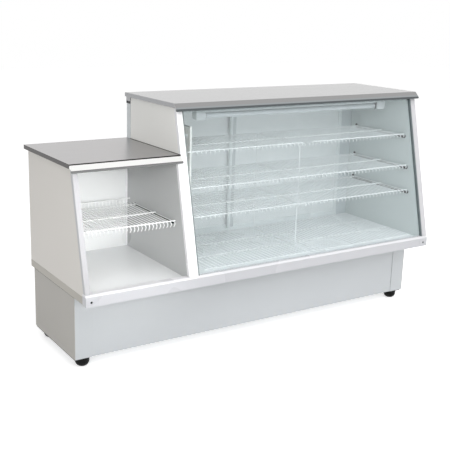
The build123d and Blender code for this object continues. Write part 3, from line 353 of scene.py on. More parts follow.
def makeGlass():
    tree, shader = newMaterial("toughenedFloatGlass")
    output = next(node for node in tree.nodes if node.type == "OUTPUT_MATERIAL")
    shader.inputs["Base Color"].default_value = hexColour(glassLook["tint"])
    shader.inputs["Roughness"].default_value = glassLook["rough"]
    shader.inputs["IOR"].default_value = glassLook["ior"]
    shader.inputs["Transmission Weight"].default_value = 1.0
    path = addNode(tree, "LightPath").outputs
    passing = addNode(tree, "Math", {
        0: path["Is Shadow Ray"], 1: path["Is Diffuse Ray"]}, operation="MAXIMUM")
    clear = addNode(tree, "BsdfTransparent", {"Color": hexColour(glassLook["through"])})
    feed(tree, output, {"Surface": addNode(tree, "MixShader", {0: passing, 1: shader, 2: clear})})


makeGlass()
dress("toughenedFloatGlass", "front_glass")
print("glass done")


# helpers for modelled pieces: shares of a radius or a bend, angles in degrees, the weld in metres
helperLook = {"rodEnd": 0.35, "rodAngle": 60, "handle": 0.55, "weld": 0.00002, "flatAngle": 1,
              "edgeAngle": 30}


def deselectAll():
    if bpy.context.object and bpy.context.object.mode != "OBJECT":
        bpy.ops.object.mode_set(mode="OBJECT")
    bpy.ops.object.select_all(action="DESELECT")


def pick(*pieces):
    # selects these objects, the first one active
    deselectAll()
    for piece in pieces:
        piece.select_set(True)
    bpy.context.view_layer.objects.active = pieces[0]


def added(operator, **settings):
    # the new object of one of Blender's add operators, which starts with everything deselected
    deselectAll()
    operator(**settings)
    return bpy.context.object


def modify(piece, kind, **settings):
    # adds one modifier and sets its options
    modifier = piece.modifiers.new(kind.lower(), kind)
    for key, value in settings.items():
        setattr(modifier, key, value)


def applyAll(piece):
    pick(piece)
    for modifier in list(piece.modifiers):
        bpy.ops.object.modifier_apply(modifier=modifier.name)
    return piece


def settle(piece):
    # puts a piece's turn, size and place into its mesh
    pick(piece)
    bpy.ops.object.transform_apply(location=True, rotation=True, scale=True)
    return piece


def finishPiece(name, parts, finish, slotName, *replaced, body="cabinet", sharp=40):
    # joins the parts into one piece, dresses it, sets what it rides on and hides the nodes it stands for
    piece = parts[0]
    pick(*parts)
    if len(parts) > 1:
        bpy.ops.object.join()
    piece.name = piece.data.name = name
    settle(piece)
    bpy.ops.object.shade_smooth_by_angle(angle=math.radians(sharp))
    if sharp <= helperLook["edgeAngle"]:
        # keeps wide flat faces flat beside their rounded edges
        modify(piece, "WEIGHTED_NORMAL", keep_sharp=True)
        applyAll(piece)
    piece.data.materials.clear()
    piece.data.materials.append(bpy.data.materials[finish])
    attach(piece, body)
    if replaced:
        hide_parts(*replaced)


def roundWire(route, radius, bend, roundness=1, steps=2):
    # one wire or tube along a route, with each corner eased to a bend
    wire = added(bpy.ops.curve.primitive_bezier_curve_add)
    corners = [Vector(place) for place in route]
    knots = [corners[0]]
    bends = {}
    for before, corner, after in zip(corners, corners[1:], corners[2:]):
        knots.append(corner + (before - corner).normalized() * bend)
        bends[len(knots) - 1] = corner
        knots.append(corner + (after - corner).normalized() * bend)
    knots.append(corners[-1])
    spline = wire.data.splines[0]
    spline.bezier_points.add(len(knots) - 2)
    for index, point in enumerate(spline.bezier_points):
        here = knots[index]
        last = knots[max(index - 1, 0)]
        following = knots[min(index + 1, len(knots) - 1)]
        point.handle_left_type = point.handle_right_type = "FREE"
        point.co = here
        point.handle_left = here + (last - here) / 3
        point.handle_right = here + (following - here) / 3
        # handles that reach 0.55 of the way to the corner make nearly a quarter circle
        if index in bends:
            point.handle_right = here + (bends[index] - here) * helperLook["handle"]
        if index - 1 in bends:
            point.handle_left = here + (bends[index - 1] - here) * helperLook["handle"]
    wire.data.dimensions = "3D"
    wire.data.bevel_depth = radius
    wire.data.bevel_resolution = roundness
    wire.data.resolution_u = steps
    wire.data.use_fill_caps = True
    bpy.ops.object.convert(target="MESH")
    return bpy.context.object


def roundRod(start, end, radius, sides=10):
    # straight rod with eased ends
    start, end = Vector(start), Vector(end)
    rod = added(
        bpy.ops.mesh.primitive_cylinder_add, vertices=sides, radius=radius, depth=(end - start).length,
        location=(start + end) / 2, rotation=(end - start).to_track_quat("Z", "Y").to_euler())
    modify(rod, "BEVEL", width=radius * helperLook["rodEnd"], limit_method="ANGLE",
           angle_limit=math.radians(helperLook["rodAngle"]))
    return settle(applyAll(rod))


def rowOf(piece, count, step):
    # the piece and its copies, one step apart
    modify(piece, "ARRAY", count=count, use_relative_offset=False, use_constant_offset=True,
           constant_offset_displace=step)
    return applyAll(piece)


def turned(centre, rings, aim=(0, 0, 1), sides=48):
    # lathe work: a disc drawn out ring by ring, each ring given as its distance along the axis and its radius
    (firstPlace, firstRadius), *_ = rings
    piece = settle(added(bpy.ops.mesh.primitive_circle_add, vertices=sides, radius=firstRadius,
                         fill_type="NGON", location=(0, 0, firstPlace)))
    bpy.ops.object.mode_set(mode="EDIT")
    bpy.ops.mesh.select_all(action="SELECT")
    for (lastPlace, lastRadius), (place, radius) in zip(rings, rings[1:]):
        bpy.ops.mesh.extrude_region_move(TRANSFORM_OT_translate={"value": (0, 0, place - lastPlace)})
        grow = radius / lastRadius
        bpy.ops.transform.resize(value=(grow, grow, 1), center_override=(0, 0, place))
    bpy.ops.mesh.select_all(action="SELECT")
    bpy.ops.mesh.normals_make_consistent(inside=False)
    bpy.ops.object.mode_set(mode="OBJECT")
    piece.rotation_euler = Vector(aim).to_track_quat("Z", "Y").to_euler()
    piece.location = centre
    return settle(piece)


def easedBlock(low, high, width=0.001, segments=2):
    # block between two corners, with its edges rounded
    low, high = Vector(low), Vector(high)
    block = added(bpy.ops.mesh.primitive_cube_add, size=1, location=(low + high) / 2)
    block.scale = high - low
    modify(settle(block), "BEVEL", width=width, segments=segments)
    return applyAll(block)


def endBlocks(near, far, front, back, bottom, top, width):
    # the same block at both ends of the counter, near and far being distances from its middle
    blocks = []
    for side in (-1, 1):
        left, right = sorted((side * near, side * far))
        blocks.append(easedBlock((left, front, bottom), (right, back, top), width))
    return blocks


def around(centre, corners):
    # places that are given from a piece's own centre
    return [Vector(centre) + Vector(corner) for corner in corners]


def cutOut(piece, cutter):
    # takes the cutter's shape out of the piece
    modify(piece, "BOOLEAN", object=cutter, operation="DIFFERENCE")
    applyAll(piece)
    bpy.data.objects.remove(cutter)
    return piece


def easedCopy(node, width):
    # the node's own mesh, welded, with whole flat faces and rounded edges
    pick(nodes[node])
    bpy.ops.object.duplicate(linked=False)
    eased = bpy.context.object
    for key in [key for key in eased.keys() if key.startswith("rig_")]:
        del eased[key]
    bpy.ops.object.parent_clear(type="CLEAR_KEEP_TRANSFORM")
    settle(eased)
    bpy.ops.object.mode_set(mode="EDIT")
    bpy.ops.mesh.select_all(action="SELECT")
    bpy.ops.mesh.remove_doubles(threshold=helperLook["weld"])
    bpy.ops.mesh.dissolve_limited(angle_limit=math.radians(helperLook["flatAngle"]))
    bpy.ops.object.mode_set(mode="OBJECT")
    modify(eased, "BEVEL", width=width, segments=2, limit_method="ANGLE",
           angle_limit=math.radians(helperLook["edgeAngle"]))
    return applyAll(eased)


# sheets, profiles and mouldings again, with the small radius that a press or a mould leaves on each edge
# each finish has its slot, and its nodes with that radius
easedNodes = {
    "powderCoatWallWhite": ("white_paint", {"left_end_panel": 0.0014, "deck": 0.0012}),
    "powderCoatDividerWhite": ("white_paint", {"divider_panel": 0.0014, "evaporator_cover": 0.0020}),
    "powderCoatLowLiner": ("white_liner", {"low_back_panel": 0.0010}),
    "powderCoatLowSideShaded": ("white_liner", {"low_side_panel": 0.0010}),
    "powderCoatFloorWhite": ("white_liner", {"low_floor": 0.0008}),
    "powderCoatDisplayFloor": ("white_liner", {"display_floor": 0.0006}),
    "powderCoatLinerWhite": ("white_liner", {"right_end_panel": 0.0014, "ceiling_liner": 0.0010}),
    "powderCoatTrimWhite": ("white_trim", {"low_right_strip": 0.0015, "display_left_strip": 0.0015}),
    "powderCoatLowStripShaded": ("white_trim", {"left_front_strip": 0.0015}),
    "powderCoatRightStripShaded": ("white_trim", {"display_right_strip": 0.0015}),
    "powderCoatSillWhite": ("white_trim", {"sill_profile": 0.0012, "sill_end_caps": 0.0020}),
    "powderCoatDeckEdge": ("white_trim", {"deck_side_strips": 0.0010}),
    "powderCoatPostGrey": ("white_trim", {"rear_posts": 0.0010}),
    "powderCoatPlinthGrey": ("plinth_paint", {"plinth_front_panel": 0.0012}),
    "powderCoatCornerGrey": ("plinth_paint", {"plinth_corners": 0.0006}),
    "powderCoatPlinthSideShaded": ("plinth_side_paint", {
        "plinth_left_panel": 0.0006, "plinth_right_panel": 0.0006}),
    "powderCoatDoorWhite": ("door_paint", {"left_door_frame": 0.0010, "right_door_frame": 0.0010}),
    "extrudedGasket": ("gasket", {"glass_gaskets": 0.0008}),
    "satinStainlessLowTop": ("low_worktop_steel", {"low_worktop": 0.0012}),
    "satinStainlessHighTop": ("high_worktop_steel", {"high_worktop": 0.0012}),
    "phosphatedSteel": ("bracket_steel", {"shelf_brackets": 0.0008}),
}
movingNodes = {"left_door_frame": "left_door", "right_door_frame": "right_door"}

for finish, (slotName, sheets) in easedNodes.items():
    for node, width in sheets.items():
        finishPiece("eased_" + node, [easedCopy(node, width)], finish, slotName, node,
                    body=movingNodes.get(node, "cabinet"), sharp=30)
print("eased sheets done")


# wire shelves: cross wires on rods, rolled back under at the front, and a gallery on the low shelf only
# each wire rides over the middle rod, and that row of humps is what the photo shows as a dotted line
shelfLook = {
    "wireRadius": 0.0019, "rodRadius": 0.0027, "wireBend": 0.003, "pitch": 0.024, "lowPitch": 0.0186,
    "gallery": 0.028, "lip": 0.014, "lowLip": 0.026, "roll": 0.008, "margin": 0.007, "back": 0.240,
    "middle": 0.47, "hump": 0.0055, "humpFoot": 0.013, "humpTop": 0.005,
    "halves": {"left": (-0.366, 0.258), "right": (0.264, 0.952)},
    "levels": {"top": (0.921, -0.155), "middle": (0.757, -0.189), "lower": (0.625, -0.209)},
    # where a front rod starts, if not at the shelf's own left end
    "rodStart": {"top_shelf_left": -0.432, "middle_shelf_left": -0.398, "lower_shelf_left": -0.398,
                 "top_shelf_right": 0.319},
    "low": {"sides": (-0.970, -0.496), "front": -0.211, "back": 0.204, "top": 0.625, "galleryEnd": -0.524},
}


def wireShelf(node, left, right, front, back, top, lip, pitch, gallery=0, galleryEnd=0):
    look = shelfLook
    thin, thick = look["wireRadius"], look["rodRadius"]
    gaps = round((right - left - 2 * look["margin"]) / pitch)
    pitch = (right - left - 2 * look["margin"]) / gaps
    middle = front + look["middle"] * (back - front)
    flat, high = top - thin, top - thin + look["hump"]

    def crossWires(x, count, rear):
        wire = roundWire(rear + [
            (x, middle + look["humpFoot"], flat), (x, middle + look["humpTop"], high),
            (x, middle - look["humpTop"], high), (x, middle - look["humpFoot"], flat),
            (x, front + look["roll"], flat), (x, front + thin, top - 0.4 * lip),
            (x, front + 0.5 * lip, top - lip),
        ], thin, look["wireBend"])
        return rowOf(wire, count, (pitch, 0, 0))

    x = left + look["margin"]
    under = flat - thin - thick
    rods = [
        roundRod((left, back - 6 * thick, under), (right, back - 6 * thick, under), thick),
        roundRod((left, middle, under + look["hump"]), (right, middle, under + look["hump"]), thick),
        roundRod((look["rodStart"].get(node, left), front + look["roll"] + thick, top + thick),
                 (right, front + look["roll"] + thick, top + thick), thick),
    ]
    if gallery:
        tall = int((galleryEnd - x) / pitch) + 1
        railY, railZ = back - 2 * thin - thick, top + gallery - thick
        rods.append(roundRod((left, railY, railZ), (galleryEnd, railY, railZ), thick))
        wires = [crossWires(x, tall, [(x, back - thin, top + gallery), (x, back - thin, flat)])]
        x += tall * pitch
        wires.append(crossWires(x, gaps + 1 - tall, [(x, back, flat)]))
    else:
        wires = [crossWires(x, gaps + 1, [(x, back, flat)])]
    finishPiece("wired_" + node, wires + rods, "dippedWhiteWire", "white_wire", node)


for level, (top, front) in shelfLook["levels"].items():
    for half, (left, right) in shelfLook["halves"].items():
        wireShelf(level + "_shelf_" + half, left, right, front, shelfLook["back"], top, shelfLook["lip"],
                  shelfLook["pitch"])
lowLook = shelfLook["low"]
wireShelf("low_shelf", *lowLook["sides"], lowLook["front"], lowLook["back"], lowLook["top"],
          shelfLook["lowLip"], shelfLook["lowPitch"], shelfLook["gallery"], lowLook["galleryEnd"])
print("wire shelves done")


# floor racks: straight wires on four cross rods
rackLook = {"left": (-0.366, 0.2565), "right": (0.2655, 0.952), "front": -0.251, "back": 0.270,
            "floor": 0.385, "rods": 4}
thin, thick = shelfLook["wireRadius"], shelfLook["rodRadius"]
wireZ, rodZ = rackLook["floor"] + 2 * thick + thin, rackLook["floor"] + thick
firstRod, lastRod = rackLook["front"] + thick, rackLook["back"] - thick
for half in ("left", "right"):
    left, right = rackLook[half]
    wires = round((right - left - 4 * thick) / shelfLook["pitch"])
    pitch = (right - left - 4 * thick) / wires
    x = left + 2 * thick + pitch / 2
    wireRow = roundRod((x, rackLook["front"], wireZ), (x, rackLook["back"], wireZ), thin, sides=6)
    rodRow = roundRod((left, firstRod, rodZ), (right, firstRod, rodZ), thick)
    rowOf(wireRow, wires, (pitch, 0, 0))
    rowOf(rodRow, rackLook["rods"], (0, (lastRod - firstRod) / (rackLook["rods"] - 1), 0))
    finishPiece("wired_floor_rack_" + half, [wireRow, rodRow], "dippedWhiteWire", "white_wire",
                "floor_rack_" + half)


# centre frame: one bent upright, and a pair of rails under the shelf ends of each level
frameLook = {"x": 0.261, "front": -0.120, "back": 0.246, "foot": 0.3875, "top": 0.913, "radius": 0.0025,
             "bend": 0.028, "railGap": 0.0035, "railStart": 0.016, "railDrop": 0.008}
ends = [(frameLook[y], frameLook[z]) for y, z in (
    ("front", "top"), ("front", "foot"), ("back", "foot"), ("back", "top"))]
frameWires = [roundWire([(frameLook["x"], y, z) for y, z in ends], frameLook["radius"], frameLook["bend"],
                        roundness=2, steps=6)]
for top, front in shelfLook["levels"].values():
    z = top - frameLook["railDrop"] - frameLook["radius"]
    for side in (-1, 1):
        x = frameLook["x"] + side * frameLook["railGap"]
        frameWires.append(roundRod((x, front + frameLook["railStart"], z), (x, frameLook["back"], z),
                                   frameLook["radius"]))
finishPiece("wired_centre_frame", frameWires, "dippedWhiteWire", "white_wire", "centre_frame")
print("centre frame done")


# refrigerant pipes: copper tube bent round a former
pipeLook = {
    "suction": {"radius": 0.005, "bend": 0.020, "route": [
        (-0.412, 0.180, 0.560), (-0.412, 0.180, 0.320), (0.400, 0.180, 0.320), (0.400, 0.180, 0.190),
        (0.400, 0.152, 0.190)]},
    "liquid": {"radius": 0.003, "bend": 0.012, "route": [
        (-0.412, 0.155, 0.560), (-0.412, 0.155, 0.306), (0.580, 0.155, 0.306), (0.580, 0.226, 0.306),
        (0.580, 0.226, 0.292)]},
    "discharge": {"radius": 0.003, "bend": 0.012, "route": [
        (0.492, 0.060, 0.190), (0.522, 0.060, 0.190), (0.522, 0.060, 0.306), (0.604, 0.060, 0.306),
        (0.604, 0.226, 0.306), (0.604, 0.226, 0.292)]},
}
pipes = [roundWire(look["route"], look["radius"], look["bend"], roundness=3, steps=6)
         for look in pipeLook.values()]
finishPiece("bent_refrigerant_pipes", pipes, "drawnCopperTube", "copper", "refrigerant_pipes")
print("pipes done")


# compressor: a drawn shell with a welded waist, on a plate with rubber feet
compressorLook = {
    "centre": (0.400, 0.060, 0), "sides": 64,
    "shell": ((0.062, 0.058), (0.064, 0.066), (0.070, 0.074), (0.080, 0.0795), (0.160, 0.0795),
              (0.161, 0.0855), (0.169, 0.0855), (0.170, 0.0795), (0.222, 0.0795), (0.236, 0.074),
              (0.248, 0.062), (0.256, 0.046), (0.260, 0.030), (0.262, 0.006)),
    "plate": ((-0.115, -0.075, 0.062), (0.115, 0.075, 0.068)),
    "cover": ((-0.105, -0.031, 0.100), (-0.055, 0.031, 0.158)), "coverEdge": 0.005,
    "feet": [(x, y, 0) for x in (-0.095, 0.095) for y in (-0.055, 0.055)],
    "foot": ((0.050, 0.0115), (0.052, 0.0125), (0.055, 0.010), (0.058, 0.0125), (0.062, 0.0115)),
    # place, direction, radius and length
    "stubs": (((0.400, 0.136, 0.190), (0, 1, 0), 0.0068, 0.016),
              ((0.476, 0.060, 0.190), (1, 0, 0), 0.0053, 0.016)),
}
centre = compressorLook["centre"]
shell = turned(centre, compressorLook["shell"], sides=compressorLook["sides"])
basePlate = easedBlock(*around(centre, compressorLook["plate"]))
finishPiece("drawn_compressor_shell", [shell, basePlate], "stovedBlackEnamel", "black_enamel", "compressor")
terminalCover = easedBlock(*around(centre, compressorLook["cover"]), compressorLook["coverEdge"], 3)
finishPiece("terminalCover", [terminalCover], "grainedBlackAbs", "control_plastic")
feet = [turned(place, compressorLook["foot"], sides=24) for place in around(centre, compressorLook["feet"])]
finishPiece("compressor_feet", feet, "mouldedRubber", "rubber")
stubs = [turned(place, ((0, radius), (length, radius), (length, radius * 0.8)), aim=aim, sides=24)
         for place, aim, radius, length in compressorLook["stubs"]]
finishPiece("compressor_stubs", stubs, "drawnCopperTube", "copper")

# fan: a domed hub with five twisted blades, narrower at the root than at the tip
fanLook = {
    "centre": (0.710, 0, 0.172), "blades": 5, "blade": (0.066, 0.050), "reach": (0.0585, 0.173, 0),
    "pitch": 30, "twist": 16, "thickness": 0.002, "edge": 0.0006, "root": -0.020, "rootEnd": (-0.033, 0, 0),
    "rootShare": 0.55,
    "hub": ((0.160, 0.022), (0.161, 0.0245), (0.163, 0.0258), (0.183, 0.0258), (0.185, 0.0245),
            (0.186, 0.022), (0.1835, 0.019), (0.1835, 0.004)),
    "shaft": ((0, 0.132, 0), (0, 0.162, 0)), "shaftRadius": 0.003,
}
hub = turned(fanLook["centre"], fanLook["hub"], aim=(0, 1, 0))
blade = added(bpy.ops.mesh.primitive_grid_add, x_subdivisions=8, y_subdivisions=6, size=1)
blade.scale = (*fanLook["blade"], 1)
settle(blade)
bpy.ops.object.mode_set(mode="EDIT")
bpy.ops.mesh.select_mode(type="VERT")
bpy.ops.mesh.select_all(action="DESELECT")
bpy.ops.object.mode_set(mode="OBJECT")
for vertex in blade.data.vertices:
    vertex.select = vertex.co.x < fanLook["root"]
bpy.ops.object.mode_set(mode="EDIT")
bpy.ops.transform.resize(value=(1, fanLook["rootShare"], 1), center_override=fanLook["rootEnd"])
bpy.ops.object.mode_set(mode="OBJECT")
modify(blade, "SIMPLE_DEFORM", deform_method="TWIST", deform_axis="X", angle=math.radians(fanLook["twist"]))
modify(blade, "SOLIDIFY", thickness=fanLook["thickness"], offset=0)
modify(blade, "BEVEL", width=fanLook["edge"], limit_method="ANGLE")
applyAll(blade)
blade.rotation_euler = (math.radians(90 - fanLook["pitch"]), 0, 0)
blade.location = fanLook["reach"]
settle(blade)
fanParts = [hub]
for index in range(fanLook["blades"]):
    pick(blade)
    bpy.ops.object.duplicate(linked=False)
    copied = bpy.context.object
    copied.rotation_euler = (0, 2 * math.pi * index / fanLook["blades"], 0)
    copied.location = fanLook["centre"]
    fanParts.append(settle(copied))
bpy.data.objects.remove(blade)
finishPiece("moulded_fan", fanParts, "mouldedNylon", "fan_plastic", "fan_blades", body="fan")
shaft = roundRod(*around(fanLook["centre"], fanLook["shaft"]), fanLook["shaftRadius"], sides=24)
finishPiece("shaft", [shaft], "zincPlatedSteel", "screw_steel", body="fan")

# fan motor: a ribbed can held to the shroud by a bent strap
motorLook = {
    "can": ((0.092, 0.028), (0.093, 0.032), (0.098, 0.0375), (0.104, 0.038), (0.116, 0.038), (0.117, 0.0365),
            (0.121, 0.0365), (0.122, 0.038), (0.142, 0.038), (0.148, 0.034), (0.150, 0.028), (0.150, 0.0036),
            (0.140, 0.0036)),
    "half": 0.118, "front": 0.092, "back": 0.1925, "height": 0.020, "gauge": 0.003, "sheet": 0.002,
    "tab": 0.012, "bend": 0.0008,
}
can = turned(fanLook["centre"], motorLook["can"], aim=(0, 1, 0))
finishPiece("fan_motor_can", [can], "stovedBlackEnamel", "black_enamel", "fan_motor")
motorX, _, motorZ = fanLook["centre"]
strap = added(bpy.ops.mesh.primitive_plane_add, size=1, rotation=(math.radians(90), 0, 0),
              location=(motorX, motorLook["front"] - motorLook["gauge"] / 2, motorZ))
strap.scale = (2 * motorLook["half"] - motorLook["gauge"], motorLook["height"], 1)
settle(strap)
bpy.ops.object.mode_set(mode="EDIT")
bpy.ops.mesh.select_mode(type="EDGE")
for side in (-1, 1):
    # each end is drawn back to the shroud, then folded in as a tab
    bpy.ops.mesh.select_all(action="DESELECT")
    bpy.ops.object.mode_set(mode="OBJECT")
    for edge in strap.data.edges:
        ends = [strap.data.vertices[corner].co for corner in edge.vertices]
        edge.select = all(side * (end.x - motorX) > motorLook["half"] - 0.004
                          and end.y < motorLook["front"] + 0.001 for end in ends)
    bpy.ops.object.mode_set(mode="EDIT")
    for move in ((0, motorLook["back"] - motorLook["front"], 0), (-side * motorLook["tab"], 0, 0)):
        bpy.ops.mesh.extrude_region_move(TRANSFORM_OT_translate={"value": move})
bpy.ops.object.mode_set(mode="OBJECT")
modify(strap, "SOLIDIFY", thickness=motorLook["sheet"], offset=0)
modify(strap, "BEVEL", width=motorLook["bend"], segments=2, limit_method="ANGLE")
finishPiece("fan_motor_strap", [applyAll(strap)], "hotDippedZincSheet", "galvanised")
print("compressor and fan done")


# condenser: thin fins pressed on two rows of tube, with return bends outside the end plates
condenserLook = {
    "fins": (0.572, 0.848), "front": 0.198, "back": 0.254, "bottom": 0.052, "top": 0.290, "pitch": 0.003,
    "fin": 0.0004, "finEdge": 0.00005, "plate": 0.0012, "rim": 0.002, "plateEdge": 0.0003, "tube": 0.0045,
    "rows": (0.212, 0.240), "firstTube": 0.070, "tubePitch": 0.025, "bends": 4, "reach": 0.0075,
}
look = condenserLook
left, right = look["fins"]
fins = easedBlock((left, look["front"], look["bottom"]), (left + look["fin"], look["back"], look["top"]),
                  look["finEdge"], 1)
rowOf(fins, int((right - left) / look["pitch"]) + 1, (look["pitch"], 0, 0))
finishPiece("condenserFins", [fins], "rolledAluminiumFin", "coil_aluminium", "condenser")
endPlates = []
returnBends = []
for side, x in ((-1, left - look["rim"]), (1, right + look["rim"])):
    endPlates.append(easedBlock(
        (x - look["plate"] / 2, look["front"] - look["rim"], look["bottom"] - look["rim"]),
        (x + look["plate"] / 2, look["back"] + look["rim"], look["top"] + look["rim"]), look["plateEdge"]))
    low = look["firstTube"] + (look["tubePitch"] if side > 0 else 0)
    high, out = low + look["tubePitch"], x + side * look["reach"]
    for y in look["rows"]:
        returnBend = roundWire([(x, y, low), (out, y, low), (out, y, high), (x, y, high)], look["tube"],
                               look["tube"], roundness=2, steps=4)
        returnBends.append(rowOf(returnBend, look["bends"], (0, 0, 2 * look["tubePitch"])))
finishPiece("condenser_end_plates", endPlates, "hotDippedZincSheet", "galvanised")
finishPiece("condenser_return_bends", returnBends, "drawnCopperTube", "copper")

# evaporator: flat fins one over the other on two rows of upright tube
coilLook = {"low": (-0.434, -0.058, 0.562), "high": (-0.388, 0.188, 0.5625), "top": 0.958, "pitch": 0.006,
            "finEdge": 0.00005, "tube": 0.004, "tubes": 9, "tubePitch": 0.028, "firstTube": -0.046,
            "rows": (-0.423, -0.399)}
coilBottom = coilLook["low"][2]
coilFins = easedBlock(coilLook["low"], coilLook["high"], coilLook["finEdge"], 1)
rowOf(coilFins, int((coilLook["top"] - coilBottom) / coilLook["pitch"]) + 1, (0, 0, coilLook["pitch"]))
finishPiece("coilFins", [coilFins], "rolledAluminiumFin", "coil_aluminium", "evaporator")
coilTubes = []
for x in coilLook["rows"]:
    tube = roundRod((x, coilLook["firstTube"], coilBottom), (x, coilLook["firstTube"], coilLook["top"]),
                    coilLook["tube"], sides=16)
    coilTubes.append(rowOf(tube, coilLook["tubes"], (0, coilLook["tubePitch"], 0)))
finishPiece("evaporator_tubes", coilTubes, "drawnCopperTube", "copper")

# fan shroud: a plate with a round hole and a rolled ring
shroudLook = {"left": 0.560, "right": 0.860, "bottom": 0.050, "top": 0.292, "plateFront": 0.194,
              "plateBack": 0.196, "plateEdge": 0.0003, "ring": 0.020, "ringEdge": 0.0006, "bore": 0.098,
              "gauge": 0.002, "sides": 72}
shroudPlate = easedBlock((shroudLook["left"], shroudLook["plateFront"], shroudLook["bottom"]),
                         (shroudLook["right"], shroudLook["plateBack"], shroudLook["top"]),
                         shroudLook["plateEdge"])
boreX, _, boreZ = fanLook["centre"]
bore = added(bpy.ops.mesh.primitive_cylinder_add, vertices=shroudLook["sides"], radius=shroudLook["bore"],
             depth=shroudLook["ring"], rotation=(math.radians(90), 0, 0),
             location=(boreX, shroudLook["plateBack"], boreZ))
cutOut(shroudPlate, settle(bore))
shroudRing = settle(added(
    bpy.ops.mesh.primitive_cylinder_add, vertices=shroudLook["sides"],
    radius=shroudLook["bore"] + shroudLook["gauge"], depth=shroudLook["ring"], end_fill_type="NOTHING",
    rotation=(math.radians(90), 0, 0),
    location=(boreX, shroudLook["plateBack"] - shroudLook["ring"] / 2, boreZ)))
modify(shroudRing, "SOLIDIFY", thickness=shroudLook["gauge"])
modify(shroudRing, "BEVEL", width=shroudLook["ringEdge"], segments=2, limit_method="ANGLE",
       angle_limit=math.radians(40))
finishPiece("rolled_fan_shroud", [shroudPlate, applyAll(shroudRing)], "hotDippedZincSheet", "galvanised",
            "fan_shroud")
print("coils and shroud done")


# black strips between the feet, under the plinth sides: painted shadow under the plinth's bottom edge
plinthShadowLook = {"near": 0.950, "far": 0.985, "front": -0.180, "back": 0.280, "bottom": 0.0405, "top": 0.0468,
             "width": 0.0008}
finishPiece("plinth_shadow_strips", endBlocks(**plinthShadowLook), "stovedBlackEnamel", "black_enamel", sharp=30)

# black strips in the gap between the deck and the plinth sides: painted shadow in that gap
gapShadowLook = {"near": 0.9870, "far": 0.9879, "front": -0.186, "back": 0.284, "bottom": 0.3365, "top": 0.3407,
            "width": 0.0003}
finishPiece("deck_gap_shadow_strips", endBlocks(**gapShadowLook), "mouldedRubber", "rubber", sharp=30)

# feet: bowls of rubber, with a rib round the rim
footLook = {
    "places": [(x, y, 0) for x in (-0.937, 0.937) for y in (-0.148, 0.224)],
    "rings": ((0.000, 0.0130), (0.0006, 0.0155), (0.0025, 0.0195), (0.006, 0.0245), (0.011, 0.0285),
              (0.017, 0.0315), (0.023, 0.0328), (0.027, 0.0330), (0.028, 0.0322), (0.030, 0.0322),
              (0.031, 0.0330), (0.045, 0.0330), (0.047, 0.0318)),
}
bowls = [turned(place, footLook["rings"], sides=64) for place in footLook["places"]]
finishPiece("moulded_feet", bowls, "mouldedRubber", "rubber", "feet")


# lamp: opal tube with pressed metal caps, in two holders on a batten, and a wire clip at the right end
lampLook = {
    "place": (0, -0.106, 1.081), "left": -0.299, "right": 0.759, "rim": 0.0006, "cap": 0.009, "collar": 0.004,
    "collarOut": 0.001, "capRadii": (0.0122, 0.0130), "collarRadii": (0.0150, 0.0160), "holderEdge": 0.0025,
    "tubeEnd": ((0.008, 0.0112), (0.009, 0.0124), (0.011, 0.0128)),
    "clip": ((0.751, -0.1225, 1.100), (0.751, -0.1225, 1.069), (0.742, -0.1225, 1.064)), "clipWire": 0.0018,
    "clipBend": 0.004,
}


def easedSleeve(x, length, radii):
    # short sleeve on the tube with eased rims
    small, large = radii
    rim = lampLook["rim"]
    rings = ((x, small), (x + rim, large), (x + length - rim, large), (x + length, small))
    return turned(lampLook["place"], rings, aim=(1, 0, 0))


left, right = lampLook["left"], lampLook["right"]
tubeRings = [(left + along, radius) for along, radius in lampLook["tubeEnd"]]
tubeRings += [(right - along, radius) for along, radius in reversed(lampLook["tubeEnd"])]
lampTube = turned(lampLook["place"], tubeRings, aim=(1, 0, 0))
finishPiece("frosted_lamp_tube", [lampTube], "frostedTube", "tube_glass", "lamp_tube")
cap, collar, out = lampLook["cap"], lampLook["collar"], lampLook["collarOut"]
tubeCaps = [easedSleeve(x, cap, lampLook["capRadii"]) for x in (left, right - cap)]
finishPiece("lamp_tube_caps", tubeCaps, "anodisedAluminium", "grey_trim")
collars = [easedSleeve(x, collar, lampLook["collarRadii"]) for x in (left - out, right + out - collar)]
finishPiece("lamp_fitting", [easedCopy("lamp_holders", lampLook["holderEdge"])] + collars, "mouldedWhiteAbs",
            "holder_plastic", "lamp_holders")
lampClip = roundWire(lampLook["clip"], lampLook["clipWire"], lampLook["clipBend"], roundness=2, steps=4)
finishPiece("lamp_clip", [lampClip], "smoothBlackAbs", "dark_plastic")
print("feet and lamp done")


# doors: tracks in two finishes, and a grey strip on the meeting stile, painted shade where the doors overlap,
# that shows through the glass
doorLook = {"trackEdge": 0.0004, "upperFrom": 0.9, "stileShade": ((0.1330, 0.2902, 0.400), (0.1525, 0.2912, 1.096)),
            "stileShadeEdge": 0.0003}
tracks = easedCopy("door_tracks", doorLook["trackEdge"])
tracks.name = "doorTracks"
bpy.ops.mesh.separate(type="LOOSE")
trackPieces = [piece for piece in bpy.context.scene.objects if piece.name.startswith("doorTracks")]
for piece in trackPieces:
    if min(vertex.co.z for vertex in piece.data.vertices) > doorLook["upperFrom"]:
        finishPiece("upper_door_track", [piece], "anodisedAluminium", "grey_trim", "door_tracks", sharp=30)
    else:
        finishPiece("lower_door_track", [piece], "powderCoatDoorWhite", "white_trim", "door_tracks", sharp=30)
stileShadeStrip = easedBlock(*doorLook["stileShade"], doorLook["stileShadeEdge"])
finishPiece("stile_shade_strip", [stileShadeStrip], "stileShadeGrey", "grey_trim", body="right_door")

